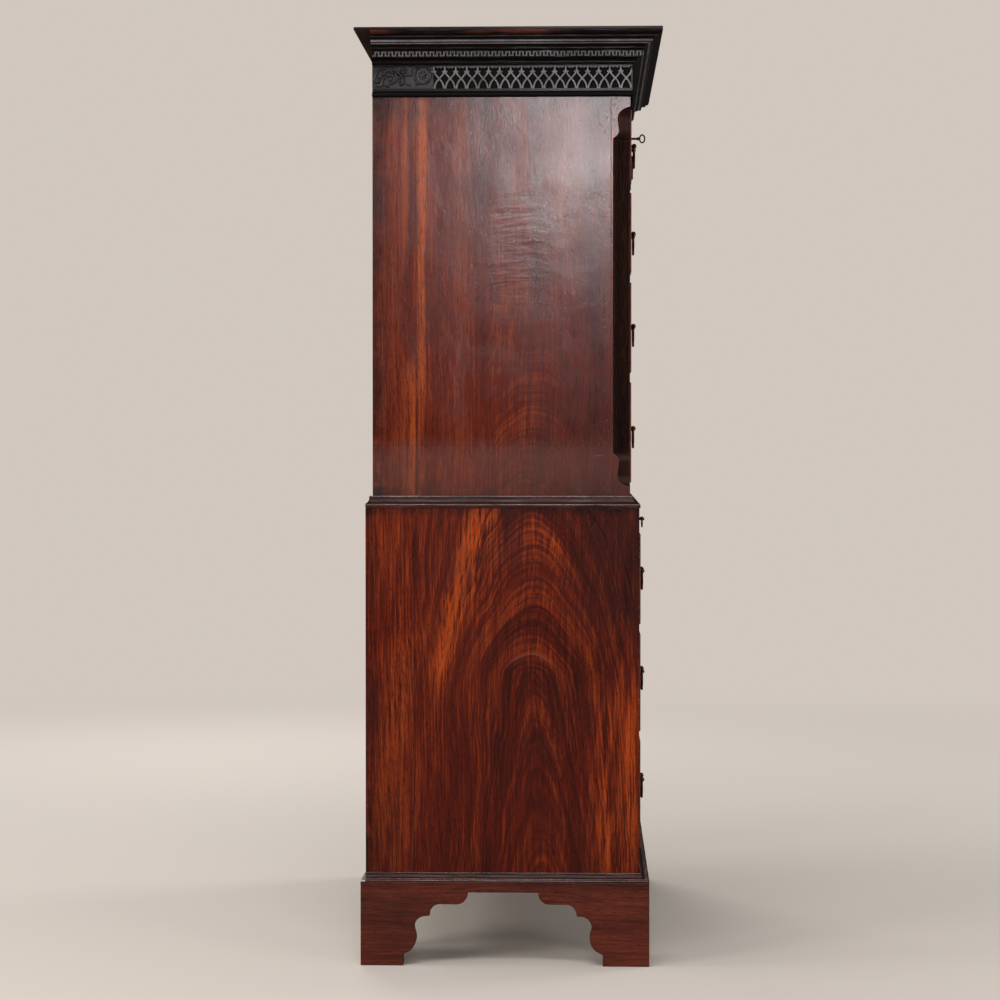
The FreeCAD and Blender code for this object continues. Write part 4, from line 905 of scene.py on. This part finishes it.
def beadRing(low, high, face, back):
    # A half-round bead round a drawer front: its section follows the rectangle, mitred at the corners
    wide, proud = bead["width"], bead["proud"]
    turn = np.linspace(0, math.pi, 9)
    nose = np.stack([wide / 2 - np.cos(turn) * wide / 2, face - proud + wide / 2 - np.sin(turn) * wide / 2], -1)
    section = np.concatenate([[(0.0, back)], nose, [(wide, back)]])
    rings = [np.stack([x + toX * section[:, 0], section[:, 1], z + toZ * section[:, 0]], -1)
             for x, z, toX, toZ in ((low[0], low[1], 1, 1), (high[0], low[1], -1, 1), (high[0], high[1], -1, -1),
                                    (low[0], high[1], 1, -1))]
    return *skin(np.array(rings + rings[:1]), caps=False), np.repeat([0, 1, 0, 1], len(section)).tolist()


plate = {
    "curve": ((0, 0, -0.12), (0.72, 0.225, -0.14), (1, 0.725, -0.16), (0, 1, -0.16), (-1, 0.725, -0.14),
              (-0.72, 0.225, -0.12)),
    "halfWidth": 0.013, "height": 0.040, "thick": 0.0012, "hole": 0.0026, "slot": 0.0016, "slotLength": 0.011,
}


def escutcheon(x, face, z):
    # The plate's edge and the keyhole are both radii about the keyhole's centre; rings between them step from
    # the wood over a rounded edge to the flat face and down into the hole
    hole, thick, slotLength = plate["hole"], plate["thick"], plate["slotLength"]
    edge = outline(plate["curve"], plate["halfWidth"], plate["height"], 14) - (0, (slotLength + plate["height"]) / 2)
    turn = circle(96) - math.pi
    angle = np.arctan2(*edge.T)
    order = np.argsort(angle)
    outer = np.interp(turn, angle[order], np.hypot(*edge.T)[order], period=2 * math.pi)
    across, up = np.sin(turn), np.cos(turn)
    slot = np.minimum(plate["slot"] / np.maximum(np.abs(across), 1e-6), slotLength / np.maximum(-up, 1e-6))
    inner = np.where(up < 0, np.maximum(hole, slot), hole)
    rings = ((inner, 0.0), (inner, thick * 0.8), (inner + 0.0003, thick), (outer - 0.0009, thick),
             (outer - 0.0003, thick * 0.75), (outer, thick * 0.3), (outer, 0.0), (inner, 0.0))
    return skin(np.array([np.stack([x + radius * across, face - level + across * 0, z + radius * up], -1)
                          for radius, level in rings]), caps=False)


lock = {"drop": 0.0318, "half": 0.0305, "deep": 0.0105, "below": 0.033, "above": 0.015}

for name, (x, place) in drawers.items():
    (x0, y0, z0), (x1, y1, z1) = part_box(f"{name}_front")
    face, inset = y0 + bead["proud"], bead["width"] - 0.0005
    softened(f"{name}_front", (drawerFront, plain["x"]),
             lambda middle, normal, face=face: middle[:, 1] > face + 0.001, name, width=0.0004,
             keep=inside((x0 + inset, face - 0.001, z0 + inset), (x1 - inset, farOff, z1 - inset)),
             name=f"{name}_board")
    makePiece(f"{name}_cockbead", [beadRing((x0, z0), (x1, z1), face, y1 - 0.0002)], (plain["x"], plain["z"]),
              body=name, joined=True)
    softened(f"{name}_box", (oak["y"], oak["x"]), facing, name, width=0.0006)
    pivot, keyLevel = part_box(f"{name}_left_bail")[1][2] - handle["bailTop"], z1 - lock["drop"]
    brasses = [escutcheon(x, face, keyLevel)]
    for across in postPlaces(x, place, handle["spacing"]):
        brasses += [post((across, face, pivot), y1 - face + handle["beyondNut"]),
                    lathe(handle["nut"], (across, y1, pivot), sides=16)]
    makePiece(f"{name}_mounts", brasses, (brass,), body=name)
    softened(f"{name}_brasses", (brass,), None, name, width=0.0003, name=f"{name}_lock",
             keep=inside((x - lock["half"], y1 - lock["deep"], keyLevel - lock["below"]),
                         (x + lock["half"], farOff, keyLevel + lock["above"])))
    makeBails(name, x, place, face, pivot, handle)
print("drawers made")


slide = {
    "spacing": 0.044, "place": 0.315, "rose": 0.69, "bolt": 0.030, "bailTop": 0.0017,
    "half": ((0.0195, 0.0), (0.0245, 0.0), (0.0292, -0.0008), (0.0318, -0.0034), (0.0316, -0.0070),
             (0.0298, -0.0105), (0.0262, -0.0137), (0.0200, -0.0156), (0.0100, -0.0161), (0.0, -0.0160)),
    "thin": 0.0012, "thick": 0.0018,
}
lowerFront = lower[1]
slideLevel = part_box("brushing_slide_left_bail")[1][2] - slide["bailTop"]
softened("brushing_slide", (oak["x"], plain["x"]), lambda middle, normal: middle[:, 1] < lowerFront + 0.0225,
         "brushing_slide", width=0.0006)
makePiece("brushing_slide_mounts", [post((across, lowerFront, slideLevel), slide["bolt"], slide["rose"])
                                    for across in postPlaces(0, slide["place"], slide["spacing"])],
          (brass,), ("brushing_slide_brasses",), "brushing_slide")
makeBails("brushing_slide", 0, slide["place"], lowerFront, slideLevel, slide)

key = {
    "axis": (-0.2415, 1.659), "bow": -0.26825, "bowHalf": (0.00525, 0.0080), "bar": 0.0015,
    "shank": ((0, -0.2225), (0.0021, -0.2226), (0.0023, -0.2232), (0.0023, -0.2580), (0.0036, -0.2586),
              (0.0036, -0.2604), (0.0024, -0.2612), (0.0030, -0.2622), (0.0018, -0.2640), (0, -0.2642)),
    "bit": (0.0013, -0.2265, -0.2225, 0.008),
}


def bow():
    # A round bar round an ellipse in the plane of Y and Z
    turn = np.linspace(0, 2 * math.pi, 49)[:, None]
    roll = circle(12)[None]
    ahead = normalised(np.stack([-key["bowHalf"][0] * np.sin(turn), key["bowHalf"][1] * np.cos(turn)], -1))
    away = key["bar"] * np.cos(roll)
    y = key["bow"] + key["bowHalf"][0] * np.cos(turn) + ahead[..., 1] * away
    z = key["axis"][1] + key["bowHalf"][1] * np.sin(turn) - ahead[..., 0] * away
    x = key["axis"][0] + key["bar"] * np.sin(roll) + turn * 0
    return skin(np.stack([x, y, z], -1), caps=False)


lockAxis = (key["axis"][0], 0, key["axis"][1])
half, start, end, reach = key["bit"]
points, faces = blocks([(-half, half, start, end, -reach, 0.0)], 0.02)
makePiece("key", [lathe(key["shank"], lockAxis, sides=20), bow(), (points + lockAxis, faces)], (steel,),
          ("drawer_key",), "drawer_key", joined=True)


# Blind fret on the cants of the upper case
cant = {"depth": 0.034, "low": 1.0125, "high": 1.6275, "border": 0.0032, "edge": 0.0022, "clear": 0.0035,
        "raised": 0.0009, "repeat": 0.0769, "step": 0.003, "strip": 0.0013}


def cantFret():
    # On a flat strip (across, up, out): a border, and lenses between two lines that swing from side to side;
    # the lines are across = a cos(pi z / repeat), their mirror image, and a small lens in every crossing
    wide, low, high = cant["depth"] * math.sqrt(2), cant["low"], cant["high"]
    edge, border, raised = cant["edge"], cant["border"], cant["raised"]
    bars = [(edge, edge + border, low, high), (wide - edge - border, wide - edge, low, high),
            (edge + border, wide - edge - border, low, low + border),
            (edge + border, wide - edge - border, high - border, high)]
    parts = [blocks([(*bar, 0.0, raised) for bar in bars], 0.5)]
    level = np.arange(0, high - low - border * 2, cant["step"])
    swing = wide / 2 - edge - border - cant["clear"]
    for sign in (-1, 1):
        for amount in (1, 0.42):
            across = wide / 2 + sign * amount * swing * np.cos(math.pi * level / cant["repeat"])
            line = np.stack([across, low + border + level], -1)
            parts.append(strip(line, cant["strip"] * (0.55 + 0.45 * amount), 0.0, raised))
    return parts


def onCant(part, sign):
    # across runs from the side of the case to its front
    points, faces = part
    across, up, out = points.T
    slope = math.sqrt(0.5)
    x = halfUpper - across * slope + out * slope
    y = upperFront + cant["depth"] - across * slope - out * slope
    return np.stack([sign * x, y, up], -1), faces


makePiece("cant_fret", [onCant(part, sign) for part in cantFret() for sign in (-1, 1)], (cantRelief,))
print("handles, key and cants made")


studio = {
    "wall": (209, 199, 190), "floor": (206, 197, 188), "ambient": 0.3, "gloss": 0.02, "floorSize": 30,
    "camera": (-5.912, -0.1485, 1.036), "target": (-0.52, 0.0174, 0.9175), "lens": 98.3,
}
unlit, white = (0, 0, 0, 1), (1, 1, 1, 1)
wall, size = tint(*studio["wall"]), studio["floorSize"]
floorMesh = bpy.data.meshes.new("floor")
floorMesh.from_pydata([(-size, -size, 0), (size, -size, 0), (size, size, 0), (-size, size, 0)], [], [(0, 1, 2, 3)])
f = Finish("pale floor")
x, y, z = f.place()
faded = fade((x * x + y * y) ** 0.5, 1.6, 5.5) * f.node("ShaderNodeLightPath")
inGloss = f.node("ShaderNodeLightPath", output="Is Glossy Ray")
f.shader.inputs["Specular IOR Level"].default_value = 0.0
f.shader.inputs["Emission Strength"].default_value = 1.0
floorMesh.materials.append(f.finish(
    Base_Color=f.blend(faded + inGloss * 0.85, tint(*studio["floor"]), unlit), Roughness=0.9,
    Emission_Color=f.blend(faded, unlit, wall)))
linked("floor", floorMesh)

world = bpy.data.worlds.new("studio")
bpy.context.scene.world = world
world.use_nodes = True
tree = world.node_tree
tree.nodes.clear()
rays = tree.nodes.new("ShaderNodeLightPath")


def background(colour, strength):
    made = tree.nodes.new("ShaderNodeBackground")
    made.inputs["Color"].default_value, made.inputs["Strength"].default_value = colour, strength
    return made.outputs[0]


def either(ray, first, second):
    made = tree.nodes.new("ShaderNodeMixShader")
    for socket, link in zip(made.inputs, (rays.outputs[ray], first, second)):
        tree.links.new(link, socket)
    return made.outputs[0]


seen = either("Is Glossy Ray", background(white, studio["ambient"]), background(wall, studio["gloss"]))
for ray in ("Is Transmission Ray", "Is Camera Ray"):
    seen = either(ray, seen, background(wall, 1))
tree.links.new(seen, tree.nodes.new("ShaderNodeOutputWorld").inputs[0])


def aimed(name, data, place, target):
    made = linked(name, data)
    made.location = place
    made.rotation_euler = (Vector(target) - Vector(place)).to_track_quat("-Z", "Y").to_euler()
    return made


lamps = {  # place, target, size, power, colour
    "window": ((-4.3, -0.18, 2.08), (-0.3, -0.25, 1.5), (0.46, 0.62), 23, (0.94, 0.97, 1.0)),
    "upper light": ((-3.0, 0.3, 4.4), (-0.4, 0.0, 1.2), (2.4, 1.0), 75, (0.98, 0.98, 1.0)),
    "side light": ((-3.4, 3.4, 2.0), (-0.3, 0.1, 0.9), (1.6, 1.6), 80, (1.0, 0.96, 0.92)),
    "low light": ((-3.6, -3.2, 0.9), (-0.4, 0.0, 0.5), (1.2, 1.0), 40, (1.0, 0.95, 0.9)),
    "front light": ((2.4, -4.6, 2.5), (0, 0, 0.9), (2.2, 2.0), 95, (1, 1, 1)),
    "right light": ((4.6, 1.6, 2.6), (0, 0, 0.9), (2.2, 2.0), 110, (1, 1, 1)),
    "back light": ((-0.8, 4.6, 2.9), (0, 0, 0.9), (2.2, 1.8), 80, (1, 1, 1)),
}
for name, (place, target, size, power, colour) in lamps.items():
    data = bpy.data.lights.new(name, "AREA")
    data.shape, data.size, data.size_y, data.energy, data.color = "RECTANGLE", *size, power, colour
    aimed(name, data, place, target)

camera = bpy.data.cameras.new("camera")
camera.lens, camera.sensor_width = studio["lens"], 36
bpy.context.scene.camera = aimed("camera", camera, studio["camera"], studio["target"])
bpy.context.scene.view_settings.view_transform = "Standard"
print("studio made")
